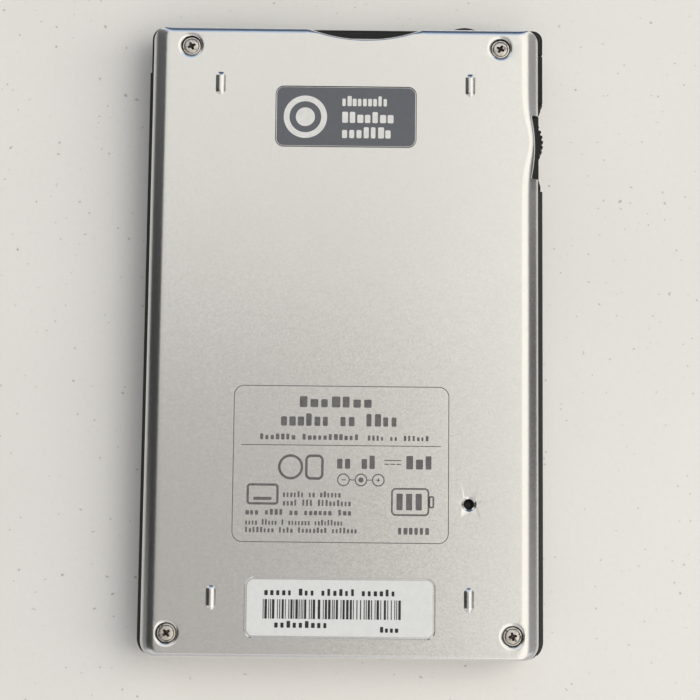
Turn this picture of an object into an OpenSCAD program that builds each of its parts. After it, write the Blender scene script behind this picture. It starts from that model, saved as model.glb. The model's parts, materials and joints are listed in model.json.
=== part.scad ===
// Pocket personal digital assistant, lying face down.
// +Z points out of the rear cover and +Y points to the top edge.
// The face of the front bezel rests on Z = 0, and X and Y are centred on the case.

/* [Body] */
// Width over the black side rails
rail_width = 79; // [78.6:0.1:79.4]
// Width of the two silver shells
shell_width = 76.7; // [76.4:0.1:76.8]
// Length of the two silver shells
body_length = 124.4; // [124.4:0.1:125.4]
// How far the black frame reaches past the shells at the top
frame_reach = 1; // [0.8:0.1:1]
// Height of the flat rear face above the front face
body_height = 11.7; // [11.7:0.1:12.5]
// Wall of the shells at the sides
side_wall = 1.2; // [1:0.1:1.2]
// Wall of the shells at the top and the bottom
end_wall = 1.4; // [1.2:0.1:1.4]
// Wall of the shells at the front and the rear
face_wall = 1.2; // [1:0.1:1.2]
// Width of the long rounded shoulders
shoulder_width = 3.5; // [2.8:0.1:3.6]
// How far the shoulders come down before the side walls
shoulder_drop = 1.6; // [1.4:0.1:2]
// Width of the shallow arc along the shells' top edges
top_end_width = 1.4; // [1.2:0.1:1.6]
// How far that arc comes down
top_end_drop = 0.5; // [0.4:0.05:0.6]
// Radius of the shells' bottom edges
bottom_end_radius = 1.1; // [0.6:0.1:1.1]
// Corner radius at the top, seen from the rear
top_corner_radius = 2.4; // [2:0.1:2.8]
// Corner radius at the bottom, seen from the rear
bottom_corner_radius = 3.2; // [2.8:0.1:3.6]

/* [Layers] */
// Height of the parting line between front bezel and mid frame
bezel_top = 4.6; // [4.6:0.1:4.7]
// Height of the parting line between mid frame and rear cover
cover_base = 7.6; // [7.6:0.1:7.8]

/* [Rear face] */
// Width of the name badge
badge_width = 27.6; // [24:0.2:30]
// Length of the name badge
badge_length = 12; // [10:0.2:13]
// Width of the rating label
label_width = 35.7; // [30:0.1:38]
// Length of the rating label
label_length = 10.7; // [8:0.1:11]
// Width of each foot
foot_width = 2; // [1.8:0.1:3]
// Length of each foot
foot_length = 4.7; // [4:0.1:6]
// Height of each foot
foot_height = 0.35; // [0.2:0.05:0.5]
// Radius of the reset hole
reset_radius = 1; // [0.8:0.05:1.1]

/* [Card slot] */
// Width of the memory card
card_width = 24; // [23.6:0.1:24]
// Length of the memory card
card_length = 31.9; // [31.5:0.1:31.9]
// Thickness of the memory card
card_thickness = 2.1; // [1.9:0.05:2.1]
// Width of the finger notch at the slot
notch_width = 23; // [20:0.5:23]
// Depth of the finger notch
notch_depth = 2.17; // [1.6:0.01:2.3]

/* [Jog wheel] */
// Radius of the wheel over its teeth
wheel_radius = 7; // [6.6:0.1:7]
// Thickness of the wheel
wheel_height = 2.4; // [2:0.1:2.4]
// Number of teeth
wheel_teeth = 40; // [30:1:48]
// Depth of the teeth
tooth_depth = 0.35; // [0.2:0.05:0.45]

/* [Stylus] */
// Radius of the barrel
stylus_radius = 1.55; // [1.3:0.05:1.6]
// Length of the barrel
stylus_length = 99; // [90:1:99]

/* [Screen] */
// Width of the window in the bezel
window_width = 55; // [53:0.5:56]
// Length of the window in the bezel
window_length = 72.6; // [70:0.2:74]

/* [Hidden] */
$fn = 64;
half_shell = shell_width / 2;
half_rail = rail_width / 2;
half_frame = half_rail - 0.4;
left_frame = half_shell + 0.6;
half_length = body_length / 2;
top_face = half_length + frame_reach;
centre_shift = -frame_reach / 2;
inner_half = half_shell - side_wall;
inner_end = half_length - end_wall;
front_floor = 1.5;
roof = body_height - face_wall;

screws_top = [30.8, half_length - 3.85];
screws_bottom = [33.25, half_length - 4.65];
screw_spots = [
    [-screws_top[0], screws_top[1]],
    [screws_top[0], screws_top[1]],
    [-screws_bottom[0], -screws_bottom[1]],
    [screws_bottom[0], -screws_bottom[1]]
];
boss_radius = 2;
screw_shaft_radius = 1;
screw_head_radius = 1.85;
screw_head_height = 0.95;
head_well_radius = 2;
head_seat = body_height - 1.45;

foot_spots = [[-24.8, 50.7], [24.8, 50.7], [-24.8, -50.7], [24.8, -50.7]];
badge_spot = [0.15, 44.1];
label_spot = [0, -52.5];
reset_spot = [24.75, -32.3];
plate_thickness = 0.25;
label_thickness = 0.12;

slot_centre = 3.85;
slot_gap = 0.3;
slot_floor = 6.75;
slot_top = slot_floor + card_thickness + 0.3;
cage_back = half_length - 0.25 - card_length - 0.9;
cage_wall = 0.4;

wheel_spot = [32.6, 40.05];
wheel_base = 5.6;
wheel_gap = 0.4;
axle_radius = 0.8;
jog_window = [32.1, 44.9];
collar_top = body_height - 1.8;

stylus_spot = [-34.9, 6.1];
silo_outer = 2;
silo_bore = 1.75;
cap_radius = 2.1;

screen_centre = 8;
panel_size = [61, 81];
touch_base = front_floor + 0.3;
lcd_base = touch_base + 0.9;
light_base = lcd_base + 1.3;
tray_top = light_base + 1;
tray_wall = 0.4;
sheet_top = tray_top + 0.15;

board_base = 5.5;
board_top = 6.3;
board_screw_spots = [[-13, 53.5], [20, 52], [33.4, 25], [33.4, -25]];

jack_spot = [-25, 6];
jack_bore = 1.8;
jack_collar = 2.7;
jack_depth = 13;
port_ring = 0.6;
power_spot = [23.85, 6.5];
record_range = [48.15, 57.85];
left_rail_top = 53.8;
right_rail_top = 30.3;
left_rail_step = 0.25;
rail_depth = 1.2;
rail_wrap = 2.4;
led_spot = [26.5, 53];
speaker_spot = [3, 55];
microphone_spot = [14, -59.1];

nav_spot = [0, -47];
nav_radius = 8;
nav_axis_height = 2.675;
gimbal_ring = [3.2, 4.4, 0.35];
gimbal_pin = [0.15, 0.8];
app_key_spots = [[-27, -47], [-16, -47], [16, -47], [27, -47]];
app_key_size = [7.2, 5.2];
key_floor = 0.8;
keypad_base = 3.2;

silver = [0.78, 0.79, 0.8];
black = [0.07, 0.07, 0.08];
board_green = [0.1, 0.35, 0.22];
steel = [0.62, 0.63, 0.65];

// ---- shared shapes ----

// Rounded outline with its own radius at the top and bottom corners, and a longer upper half
module outline(half_x, half_y, top_radius, bottom_radius, reach = 0) {
    upper_y = half_y + reach;
    translate([-half_x, bottom_radius - half_y])
        square([2 * half_x, half_y + upper_y - bottom_radius - top_radius]);
    translate([top_radius - half_x, 0])
        square([2 * (half_x - top_radius), upper_y]);
    translate([bottom_radius - half_x, -half_y])
        square([2 * (half_x - bottom_radius), half_y]);
    for (side = [-1, 1]) {
        translate([side * (half_x - top_radius), upper_y - top_radius])
            circle(r = top_radius);
        translate([side * (half_x - bottom_radius), bottom_radius - half_y])
            circle(r = bottom_radius);
    }
}

// Flat plate with four equal corners, centred on a spot
module rounded_plate(size, radius, height) {
    linear_extrude(height)
        outline(size[0] / 2, size[1] / 2, radius, radius);
}

// Pill shape lying along X
module pill(size, height) {
    radius = size[1] / 2;
    reach = size[0] / 2 - radius;
    linear_extrude(height) {
        square([2 * reach, size[1]], center = true);
        for (side = [-1, 1])
            translate([side * reach, 0])
                circle(r = radius);
    }
}

// Slab section from z = 0 up, with its two upper edges rounded
module rounded_section(half_width, height, radius) {
    intersection() {
        union() {
            translate([radius - half_width, 0])
                square([2 * (half_width - radius), height]);
            translate([-half_width, 0])
                square([2 * half_width, height - radius]);
            for (side = [-1, 1])
                translate([side * (half_width - radius), height - radius])
                    circle(r = radius);
        }
        translate([-half_width, 0])
            square([2 * half_width, height]);
    }
}

// Slab section from z = 0 up, whose upper edges come down in a shallow arc
module arched_section(half_width, height, width, drop) {
    arc_radius = (pow(width, 2) + pow(drop, 2)) / (2 * drop);
    intersection() {
        union() {
            translate([width - half_width, 0])
                square([2 * (half_width - width), height]);
            translate([-half_width, 0])
                square([2 * half_width, height - drop]);
            for (side = [-1, 1])
                translate([side * (half_width - width), height - arc_radius])
                    circle(r = arc_radius, $fn = 128);
        }
        translate([-half_width, 0])
            square([2 * half_width, height]);
    }
}

// Lengthwise section of a shell: a shallow arc at the top end, a small round at the bottom
module end_section(height) {
    spare = 3;
    intersection() {
        translate([-spare, 0])
            arched_section(half_length + spare, height, top_end_width, top_end_drop);
        translate([spare, 0])
            rounded_section(half_length + spare, height, bottom_end_radius);
    }
}

// Shell body that stands on z = 0: outline in plan, shoulders at the sides, soft ends
module shell_solid(height) {
    intersection() {
        linear_extrude(height)
            outline(half_shell, half_length, top_corner_radius, bottom_corner_radius);
        rotate([90, 0, 0])
            linear_extrude(body_length + 2, center = true)
                arched_section(half_shell, height, shoulder_width, shoulder_drop);
        rotate([90, 0, 90])
            linear_extrude(shell_width + 2, center = true)
                end_section(height);
    }
}

// Hollow of a shell, open at z = 0
module shell_hollow(height) {
    inner_shoulder = shoulder_width - end_wall;
    rotate([90, 0, 0])
        linear_extrude(2 * inner_end, center = true)
            rounded_section(inner_half, height, inner_shoulder);
}

// Box given by its lower and upper corners
module box(low, high) {
    translate(low)
        cube(high - low);
}

// Cylinder along Y through the top wall
module top_bore(spot, radius, from_y, to_y) {
    translate([spot[0], to_y, spot[1]])
        rotate([90, 0, 0])
            cylinder(r = radius, h = to_y - from_y);
}

// Room that the jog wheel needs in the walls around it
module wheel_room() {
    translate([wheel_spot[0], wheel_spot[1], wheel_base - 0.25])
        cylinder(r = wheel_radius + wheel_gap, h = wheel_height + 0.5);
}

// Plan of the opening above the jog wheel: its inner edge bulges outwards
module jog_window_plan() {
    middle = (jog_window[0] + jog_window[1]) / 2;
    half = (jog_window[1] - jog_window[0]) / 2;
    bulge = 0.7;
    inner_edge = half_shell - 1.3;
    arc_radius = (pow(half, 2) + pow(bulge, 2)) / (2 * bulge);
    difference() {
        translate([inner_edge, jog_window[0]])
            square([4, 2 * half]);
        translate([inner_edge + bulge - arc_radius, middle])
            circle(r = arc_radius, $fn = 180);
    }
}

// Rings around the stylus and headphone holes, following the rounded corner
module port_rings(grow) {
    intersection() {
        union() {
            top_bore(jack_spot, jack_collar + 0.1 + port_ring + grow, inner_end, top_face + 1);
            top_bore(stylus_spot, cap_radius + 0.15 + port_ring + grow, inner_end, top_face + 1);
        }
        linear_extrude(2 * body_height)
            outline(left_frame, half_length + grow, top_corner_radius + 0.2,
                bottom_corner_radius);
    }
}

// Room for those rings in the walls of the two shells
module port_room() {
    port_rings(0.05);
    top_bore(stylus_spot, silo_outer + 0.2, inner_end - 1, top_face + 1);
}

// Mouth of the card slot through the top wall
module card_mouth() {
    half = card_width / 2 + slot_gap;
    box([slot_centre - half, inner_end - 0.5, slot_floor],
        [slot_centre + half, top_face + 1, slot_top]);
}

// ---- case ----

// Rounded foot with a crown along its length, sunk a little into the cover
module cover_foot() {
    sunk = 0.1;
    crown = (pow(foot_width / 2, 2) + pow(foot_height, 2)) / (2 * foot_height);
    intersection() {
        rotate([0, 0, 90])
            pill([foot_length, foot_width], foot_height + sunk);
        translate([0, 0, foot_height + sunk - crown])
            rotate([90, 0, 0])
                cylinder(r = crown, h = foot_length, center = true);
    }
}

module rear_cover() {
    notch_round = (pow(notch_width / 2, 2) + pow(notch_depth, 2)) / (2 * notch_depth);
    color(silver) difference() {
        union() {
            difference() {
                translate([0, 0, cover_base])
                    shell_solid(body_height - cover_base);
                translate([0, 0, cover_base - 1])
                    shell_hollow(roof - cover_base + 1);
            }
            for (spot = screw_spots) {
                translate([spot[0], spot[1], cover_base])
                    cylinder(r = boss_radius, h = roof - cover_base + 0.3);
                translate([spot[0], spot[1], roof - 1.1])
                    cylinder(r = boss_radius + 0.8, h = 1.4);
            }
            for (spot = foot_spots)
                translate([spot[0], spot[1], body_height - 0.1])
                    cover_foot();
        }
        for (spot = screw_spots)
            translate([spot[0], spot[1], 0]) {
                cylinder(r = screw_shaft_radius + 0.15, h = body_height);
                translate([0, 0, head_seat])
                    cylinder(r = head_well_radius, h = 3);
                translate([0, 0, body_height - 0.35])
                    cylinder(r1 = head_well_radius - 0.05, r2 = head_well_radius + 0.6, h = 0.36);
            }
        translate([slot_centre, half_length + notch_round - notch_depth, cover_base - 1])
            cylinder(r = notch_round, h = 6, $fn = 180);
        card_mouth();
        translate([badge_spot[0], badge_spot[1], body_height - plate_thickness])
            rounded_plate([badge_width + 0.3, badge_length + 0.3], 1.6, 1);
        translate([label_spot[0], label_spot[1], body_height - 0.2])
            rounded_plate([label_width + 1.1, label_length + 1.1], 1.5, 1);
        translate([reset_spot[0], reset_spot[1], 0])
            cylinder(r = reset_radius, h = body_height + 1);
        translate([reset_spot[0], reset_spot[1], body_height - 0.25])
            cylinder(r1 = reset_radius, r2 = reset_radius + 0.5, h = 0.26);
        box([inner_half - 1.2, jog_window[0], cover_base - 1],
            [half_shell + 1, jog_window[1], collar_top + 0.1]);
        translate([0, 0, collar_top])
            linear_extrude(body_height)
                jog_window_plan();
        wheel_room();
        port_room();
    }
}

module front_bezel() {
    color(silver) difference() {
        union() {
            difference() {
                translate([0, 0, bezel_top])
                    mirror([0, 0, 1])
                        shell_solid(bezel_top);
                translate([0, 0, bezel_top + 1])
                    mirror([0, 0, 1])
                        shell_hollow(bezel_top - front_floor + 1);
            }
            for (spot = screw_spots)
                translate([spot[0], spot[1], 1.2])
                    cylinder(r = boss_radius, h = bezel_top - 1.2);
            for (spot = board_screw_spots)
                translate([spot[0], spot[1], 1.2])
                    cylinder(r = 1.6, h = board_base - 1.2);
        }
        for (spot = screw_spots)
            translate([spot[0], spot[1], 2])
                cylinder(r = screw_shaft_radius, h = 6);
        for (spot = board_screw_spots)
            translate([spot[0], spot[1], 3])
                cylinder(r = 0.7, h = 4);
        translate([0, screen_centre, -1])
            rounded_plate([window_width, window_length], 1, 4);
        translate([0, screen_centre, -1])
            rounded_plate([window_width + 2, window_length + 2], 2, 1.4);
        translate([nav_spot[0], nav_spot[1], -1])
            rounded_plate([64, 18.4], 6, 1 + key_floor);
        translate([nav_spot[0], nav_spot[1], -1])
            cylinder(r = nav_radius + 0.5, h = 4);
        for (spot = app_key_spots)
            translate([spot[0], spot[1], -1])
                pill(app_key_size + [0.4, 0.4], 4);
        for (row = [-2:2])
            translate([speaker_spot[0], speaker_spot[1] + row * 1.5, -1])
                pill([7.2, 0.7], 4);
        translate([microphone_spot[0], microphone_spot[1], -1])
            cylinder(r = 0.5, h = 4);
        translate([led_spot[0], led_spot[1], -1])
            cylinder(r = 1.3, h = 4);
        port_room();
    }
}

// Plan of the frame's outside, with the blocks above the jog wheel and the finger hollow
module frame_outline() {
    middle = (half_frame - left_frame) / 2;
    hollow_floor = half_shell + 0.2;
    block_corner = 2;
    difference() {
        union() {
            translate([middle, 0])
                outline(half_frame - middle, half_length, top_corner_radius + 0.2,
                    bottom_corner_radius + 0.2, frame_reach);
            translate([half_rail - 2 * block_corner, record_range[0] - 0.4])
                square([2 * block_corner, top_face - block_corner + 0.4 - record_range[0]]);
            translate([half_rail - block_corner, top_face - block_corner])
                circle(r = block_corner);
        }
        for (edge = [record_range[0] - 0.05, record_range[1] + 0.25])
            translate([half_frame, edge])
                square([2, 0.4], center = true);
        polygon([
            [hollow_floor, 33], [hollow_floor, 45.35], [half_rail + 0.12, 47.75],
            [half_rail + 2, 47.75], [half_rail + 2, 30.8], [half_rail - 0.25, 30.8]
        ]);
        translate([half_frame + 1, 30.57])
            square([2, 0.46], center = true);
    }
}

// Plan of the strip along one side that the rubber rail fills
module rail_plan(side, top_y) {
    reach = side > 0 ? half_rail : half_rail - left_rail_step;
    intersection() {
        difference() {
            outline(reach, half_length, top_corner_radius, bottom_corner_radius + 0.4);
            outline(half_rail - rail_depth, half_length - rail_depth,
                top_corner_radius, bottom_corner_radius - 0.8);
        }
        translate([side > 0 ? half_rail - rail_wrap : -2 * half_rail, 1 - half_length])
            square([side > 0 ? half_rail : half_rail + rail_wrap, top_y + half_length - 1]);
    }
}

module mid_frame() {
    height = cover_base - bezel_top;
    color(black) difference() {
        union() {
            translate([0, 0, bezel_top])
                linear_extrude(height)
                    difference() {
                        frame_outline();
                        outline(inner_half, inner_end, 1, 1.8);
                        rail_plan(-1, left_rail_top + 0.05);
                        rail_plan(1, right_rail_top + 0.05);
                    }
            for (spot = screw_spots) {
                reach = inner_end + 0.4 - abs(spot[1]);
                translate([spot[0], spot[1], bezel_top]) {
                    cylinder(r = boss_radius, h = height);
                    translate([-boss_radius, spot[1] > 0 ? 0 : -reach, 0])
                        cube([2 * boss_radius, reach, height]);
                }
            }
            port_rings(0);
            box([inner_half - 1.1, jog_window[0] + 0.1, cover_base - 0.5],
                [half_shell + 0.15, jog_window[1] - 0.1, collar_top]);
        }
        for (spot = screw_spots)
            translate([spot[0], spot[1], 0])
                cylinder(r = screw_shaft_radius + 0.15, h = 20);
        wheel_room();
        card_mouth();
        top_bore(jack_spot, jack_collar + 0.1, inner_end - 1, top_face + 1);
        top_bore(stylus_spot, cap_radius + 0.15, inner_end - 1, top_face + 1);
        box([-19, inner_end - 1, 4.85], [-12, top_face + 1, 7.35]);
        box([power_spot[0] - 4.35, inner_end - 1, power_spot[1] - 1.1],
            [power_spot[0] + 4.35, top_face + 1, power_spot[1] + 1.1]);
        box([inner_half - 1, record_range[0] - 0.1, 4.9],
            [half_rail + 1, record_range[1] + 0.1, 7.35]);
        box([-12.7, -half_length - 1, 4.7], [12.7, 1 - inner_end, 7.5]);
    }
}

module side_rail(side, top_y) {
    color(black)
        translate([0, 0, bezel_top + 0.05])
            linear_extrude(cover_base - bezel_top - 0.1)
                rail_plan(side, top_y);
}

module left_side_rail() {
    side_rail(-1, left_rail_top);
}

module right_side_rail() {
    side_rail(1, right_rail_top);
}

// Pan-head machine screw pointing down, with a cross recess
module cross_screw(head_radius, head_height, shaft_radius, shaft_length) {
    difference() {
        union() {
            cylinder(r = head_radius, h = head_height);
            translate([0, 0, -shaft_length])
                cylinder(r = shaft_radius, h = shaft_length + 0.1);
        }
        translate([0, 0, head_height])
            for (turn = [0, 90])
                rotate([0, 0, turn])
                    cube([head_radius, head_radius * 0.28, head_height], center = true);
    }
}

module case_screws() {
    color(steel)
        for (spot = screw_spots)
            translate([spot[0], spot[1], head_seat])
                cross_screw(screw_head_radius, screw_head_height, screw_shaft_radius, head_seat - 2.2);
}

module badge_label() {
    color([0.42, 0.43, 0.46])
        translate([badge_spot[0], badge_spot[1], body_height - plate_thickness])
            rounded_plate([badge_width, badge_length], 1.5, plate_thickness + 0.03);
}

module rating_label() {
    color([0.75, 0.76, 0.77])
        translate([label_spot[0], label_spot[1], body_height - 0.2])
            rounded_plate([label_width, label_length], 1.2, label_thickness);
}

// ---- display ----

// Rectangle centred on the screen
module screen_plate(size, base, height) {
    translate([-size[0] / 2, screen_centre - size[1] / 2, base])
        cube([size[0], size[1], height]);
}

module display_gasket() {
    color([0.15, 0.15, 0.16]) difference() {
        screen_plate(panel_size - [1, 1], front_floor, touch_base - front_floor);
        screen_plate([window_width + 1.5, window_length + 1.5], front_floor - 1, 3);
    }
}

module touch_panel() {
    color([0.75, 0.8, 0.8, 0.5])
        screen_plate(panel_size, touch_base, lcd_base - touch_base);
}

module lcd_panel() {
    color([0.16, 0.18, 0.2])
        screen_plate(panel_size - [0.4, 0.4], lcd_base, light_base - lcd_base);
}

module backlight() {
    color([0.92, 0.93, 0.95])
        screen_plate(panel_size - [0.4, 0.4], light_base, 0.7);
}

module display_frame() {
    outer = panel_size + [1.4, 1.4];
    color(steel) difference() {
        screen_plate(outer, touch_base + 0.4, tray_top - touch_base - 0.4);
        screen_plate(outer - 2 * [tray_wall, tray_wall], touch_base, tray_top - 0.3 - touch_base);
        box([17.6, screen_centre - outer[1] / 2 - 1, touch_base],
            [28.4, screen_centre - outer[1] / 2 + 1, lcd_base + 0.7]);
    }
}

module display_flex() {
    start = screen_centre - panel_size[1] / 2;
    color([0.8, 0.5, 0.15]) {
        box([18, start - 2.4, lcd_base + 0.15], [28, start + 0.2, lcd_base + 0.35]);
        box([18, start - 2.4, lcd_base + 0.15], [28, start - 2.2, board_base]);
        box([18, start - 2.4, board_base - 0.2], [28, start + 4, board_base]);
    }
}

module insulating_sheet() {
    color([0.9, 0.85, 0.5])
        box([-31, -31, tray_top], [16, 47, sheet_top]);
}

// ---- boards, battery and audio ----

module main_board() {
    top_edge = inner_end - 1.6;
    color(board_green) translate([0, 0, board_base]) difference() {
        union() {
            box([-31.5, -2.5, 0], [28, 49.5, 0.8]);
            box([-21, 40, 0], [27.6, top_edge, 0.8]);
            box([16, -55, 0], [36, 30.5, 0.8]);
            box([27, 47.6, 0], [35.6, 54.8, 0.8]);
            box([-26, -59.4, 0], [30, -53.4, 0.8]);
        }
        box([23.4, 32, -1], [40, 48, 2]);
        box([-13.2, -62, -1], [13.2, -56, 2]);
        for (spot = board_screw_spots)
            translate([spot[0], spot[1], -1])
                cylinder(r = 0.9, h = 4);
    }
}

module board_chips() {
    // each entry: centre, footprint and height
    chips = [
        [[3, 14], [13, 13], 1.2],
        [[-21, 12], [12, 9], 1], [[-21, 1], [12, 5], 1],
        [[22, 14], [8, 11], 1], [[24, -4], [7, 7], 1.2],
        [[29, -14], [5, 5], 1], [[23, -44], [9, 6], 1],
        [[-14, 35], [6, 6], 1], [[28.5, -44], [2.4, 5], 1.6],
        [[-18, -57], [7, 3.4], 1]
    ];
    color([0.09, 0.09, 0.1])
        for (chip = chips)
            translate([chip[0][0], chip[0][1], board_top + chip[2] / 2])
                cube([chip[1][0], chip[1][1], chip[2]], center = true);
}

module shield_can() {
    color(steel) difference() {
        box([-7, 4, board_top], [13, 24, board_top + 2]);
        box([-6.7, 4.3, board_top - 1], [12.7, 23.7, board_top + 1.7]);
    }
}

module board_screws() {
    color(steel)
        for (spot = board_screw_spots)
            translate([spot[0], spot[1], board_top])
                cross_screw(1.4, 0.8, 0.7, 3);
}

module battery_pack() {
    color([0.2, 0.32, 0.5])
        translate([-9.2, -28.3, sheet_top])
            rounded_plate([46, 47], 1.5, roof - 0.7 - sheet_top);
}

module battery_pad() {
    color([0.25, 0.25, 0.26])
        box([-28, -46, roof - 0.7], [10, -10, roof]);
}

module battery_lead() {
    color([0.7, 0.1, 0.1]) {
        for (row = [0, 1])
            translate([13.8, -9 - 1.4 * row, 7.1])
                rotate([0, 90, 0])
                    cylinder(r = 0.45, h = 4.6);
        box([18, -11.4, board_top], [21, -7.6, board_top + 1.7]);
    }
}

module backup_cell() {
    color(steel)
        translate([-24, 28, board_top])
            cylinder(r = 4.75, h = 2);
}

module headphone_jack() {
    front = inner_end - 0.1;
    color(black) difference() {
        union() {
            box([jack_spot[0] - 3.2, front - 11, jack_spot[1] - 2.7],
                [jack_spot[0] + 3.2, front, jack_spot[1] + 2.7]);
            top_bore(jack_spot, jack_collar - 0.05, front - 1, half_length);
        }
        top_bore(jack_spot, jack_bore, half_length - jack_depth, half_length + 1);
    }
}

module infrared_window() {
    color([0.25, 0.03, 0.05])
        box([-18.9, inner_end - 0.2, 4.95], [-12.1, top_face, 7.25]);
}

module infrared_module() {
    color([0.1, 0.1, 0.11]) {
        box([-18.5, 55.6, board_top], [-12.5, 58.8, board_top + 2]);
        for (side = [-1, 1])
            translate([-15.5 + 1.5 * side, 58.7, board_top + 1])
                rotate([-90, 0, 0])
                    cylinder(r = 0.85, h = 0.8);
    }
}

module dock_connector() {
    mouth = 0.3 - half_length;
    color([0.12, 0.12, 0.13]) {
        difference() {
            box([-12.5, mouth, 4.8], [12.5, -56.2, 7.4]);
            box([-11.6, mouth - 1, 5.35], [11.6, -57.4, 6.85]);
        }
        box([-10.6, mouth + 0.9, 5.9], [10.6, -57, 6.3]);
    }
}

module speaker() {
    color([0.2, 0.2, 0.22])
        translate([speaker_spot[0], speaker_spot[1], 1.8]) {
            cylinder(r = 4.6, h = 1.6);
            cylinder(r = 3.4, h = 2.6);
        }
}

module speaker_mesh() {
    color([0.05, 0.05, 0.05])
        translate([speaker_spot[0], speaker_spot[1], front_floor])
            cylinder(r = 4.9, h = 0.3);
}

module microphone() {
    color(steel)
        translate([microphone_spot[0], microphone_spot[1], front_floor])
            cylinder(r = 1.4, h = 1.4);
}

module led_light_pipe() {
    color([0.85, 0.9, 0.85, 0.6])
        translate([led_spot[0], led_spot[1], 0.2]) {
            cylinder(r = 1.15, h = 4.6);
            translate([0, 0, front_floor - 0.2])
                cylinder(r = 1.7, h = 0.6);
        }
}

module reset_switch() {
    color([0.8, 0.78, 0.7])
        translate([reset_spot[0], reset_spot[1], board_top])
            difference() {
                translate([-2, -2, 0])
                    cube([4, 4, 1.7]);
                translate([0, 0, 0.5])
                    cylinder(r = 0.95, h = 4);
            }
}

module reset_plunger() {
    color(black)
        translate([reset_spot[0], reset_spot[1], board_top + 0.9])
            cylinder(r = 0.8, h = 2.2);
}

// ---- front keys ----

module keypad_board() {
    color(board_green) difference() {
        box([-32, -57.4, keypad_base], [32, -36.4, keypad_base + 0.8]);
        for (side = [-1, 1])
            translate([side * screws_bottom[0], -screws_bottom[1], 0])
                cylinder(r = boss_radius + 0.4, h = 6);
    }
}

module key_membrane() {
    color([0.55, 0.56, 0.58]) difference() {
        box([-31.6, -57.3, keypad_base - 0.5], [31.6, -36.5, keypad_base]);
        translate([nav_spot[0], nav_spot[1], 0])
            cylinder(r = nav_radius + 1.8, h = 6);
        for (spot = app_key_spots)
            translate([spot[0], spot[1], 0])
                cylinder(r = 1.6, h = 6);
        for (side = [-1, 1])
            translate([side * screws_bottom[0], -screws_bottom[1], 0])
                cylinder(r = boss_radius + 0.4, h = 6);
    }
}

module app_button(index) {
    spot = app_key_spots[index];
    color([0.6, 0.61, 0.63])
        translate([spot[0], spot[1], 0.35]) {
            pill(app_key_size, 1.4);
            translate([0, 0, front_floor + 0.1 - 0.35])
                pill(app_key_size + [1, 1], 0.5);
            translate([0, 0, 1])
                cylinder(r = 0.8, h = 1.3);
        }
}

module app_button_1() {
    app_button(0);
}

module app_button_2() {
    app_button(1);
}

module app_button_3() {
    app_button(2);
}

module app_button_4() {
    app_button(3);
}

module nav_pad() {
    color([0.6, 0.61, 0.63])
        translate([nav_spot[0], nav_spot[1], 0.9])
            difference() {
                union() {
                    cylinder(r = nav_radius, h = 1);
                    difference() {
                        translate([0, 0, 0.7])
                            cylinder(r = nav_radius, h = 0.8);
                        cylinder(r = nav_radius - 1.2, h = 3);
                    }
                    difference() {
                        translate([0, 0, 1.3])
                            cylinder(r = nav_radius + 1, h = 0.2);
                        cylinder(r = nav_radius - 1.2, h = 3);
                    }
                }
                translate([0, 0, -1])
                    cylinder(r = 2.9, h = 4);
            }
}

// Gimbal ring of the rocker, with a pin at each end of its two axes
module nav_pivot() {
    color(steel)
        translate([nav_spot[0], nav_spot[1], nav_axis_height]) {
            difference() {
                cylinder(r = gimbal_ring[1], h = gimbal_ring[2], center = true);
                cylinder(r = gimbal_ring[0], h = 3, center = true);
            }
            for (turn = [0:90:270])
                rotate([0, 0, turn])
                    translate([gimbal_ring[1] - 0.3, 0, 0])
                        rotate([0, 90, 0])
                            cylinder(r = gimbal_pin[0], h = gimbal_pin[1] + 0.3);
        }
}

module nav_centre_button() {
    color([0.45, 0.46, 0.48])
        translate([nav_spot[0], nav_spot[1], 0.7]) {
            cylinder(r = 2.6, h = 1.5);
            cylinder(r = 1.2, h = 2.05);
        }
}

// ---- edge controls ----

module power_button() {
    dome_round = 5.8;
    rise = 0.55;
    half_width = 4.2;
    flange_half = 4.9;
    color(black)
        translate([power_spot[0], 0, power_spot[1] - 1])
            linear_extrude(2) {
                translate([-half_width, inner_end - 0.2])
                    square([2 * half_width, top_face - inner_end + 0.2]);
                translate([-flange_half, inner_end - 0.7])
                    square([2 * flange_half, 0.6]);
                intersection() {
                    translate([0, top_face + rise - dome_round])
                        circle(r = dome_round);
                    translate([-half_width, top_face - 0.1])
                        square([2 * half_width, rise + 0.2]);
                }
            }
}

module power_switch() {
    edge = inner_end - 2;
    color([0.15, 0.15, 0.16]) {
        box([power_spot[0] - 2.6, edge - 3.3, board_top],
            [power_spot[0] + 2.6, edge, board_top + 1.5]);
        box([power_spot[0] - 1, edge - 0.1, board_top + 0.1],
            [power_spot[0] + 1, edge + 0.5, board_top + 0.7]);
    }
}

module record_button() {
    color(black) {
        box([inner_half - 0.2, record_range[0], 5], [half_rail, record_range[1], 7.25]);
        box([inner_half - 0.7, record_range[0] - 0.7, 5.1], [inner_half - 0.1, record_range[1] + 0.7, 7.1]);
    }
}

module record_switch() {
    edge = inner_half - 1.6;
    color([0.15, 0.15, 0.16]) {
        box([edge - 2.8, 50.6, board_top], [edge, 54.4, board_top + 1.5]);
        box([edge - 0.1, 51.8, board_top + 0.1], [edge + 0.3, 53.2, board_top + 0.7]);
    }
}

module jog_wheel() {
    pitch = 360 / wheel_teeth;
    root = wheel_radius - tooth_depth;
    color(black)
        translate([wheel_spot[0], wheel_spot[1], wheel_base])
            linear_extrude(wheel_height)
                difference() {
                    polygon([
                        for (tooth = [0:wheel_teeth - 1], step = [0:3])
                            let (
                                reach = step < 2 ? wheel_radius : root,
                                turn = pitch * (tooth + [0.05, 0.4, 0.6, 0.85][step])
                            )
                            reach * [cos(turn), sin(turn)]
                    ]);
                    circle(r = axle_radius + 0.15);
                }
}

module jog_axle() {
    color(steel)
        translate([wheel_spot[0], wheel_spot[1], wheel_base - 0.5])
            cylinder(r = axle_radius, h = wheel_height + 1.1);
}

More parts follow.
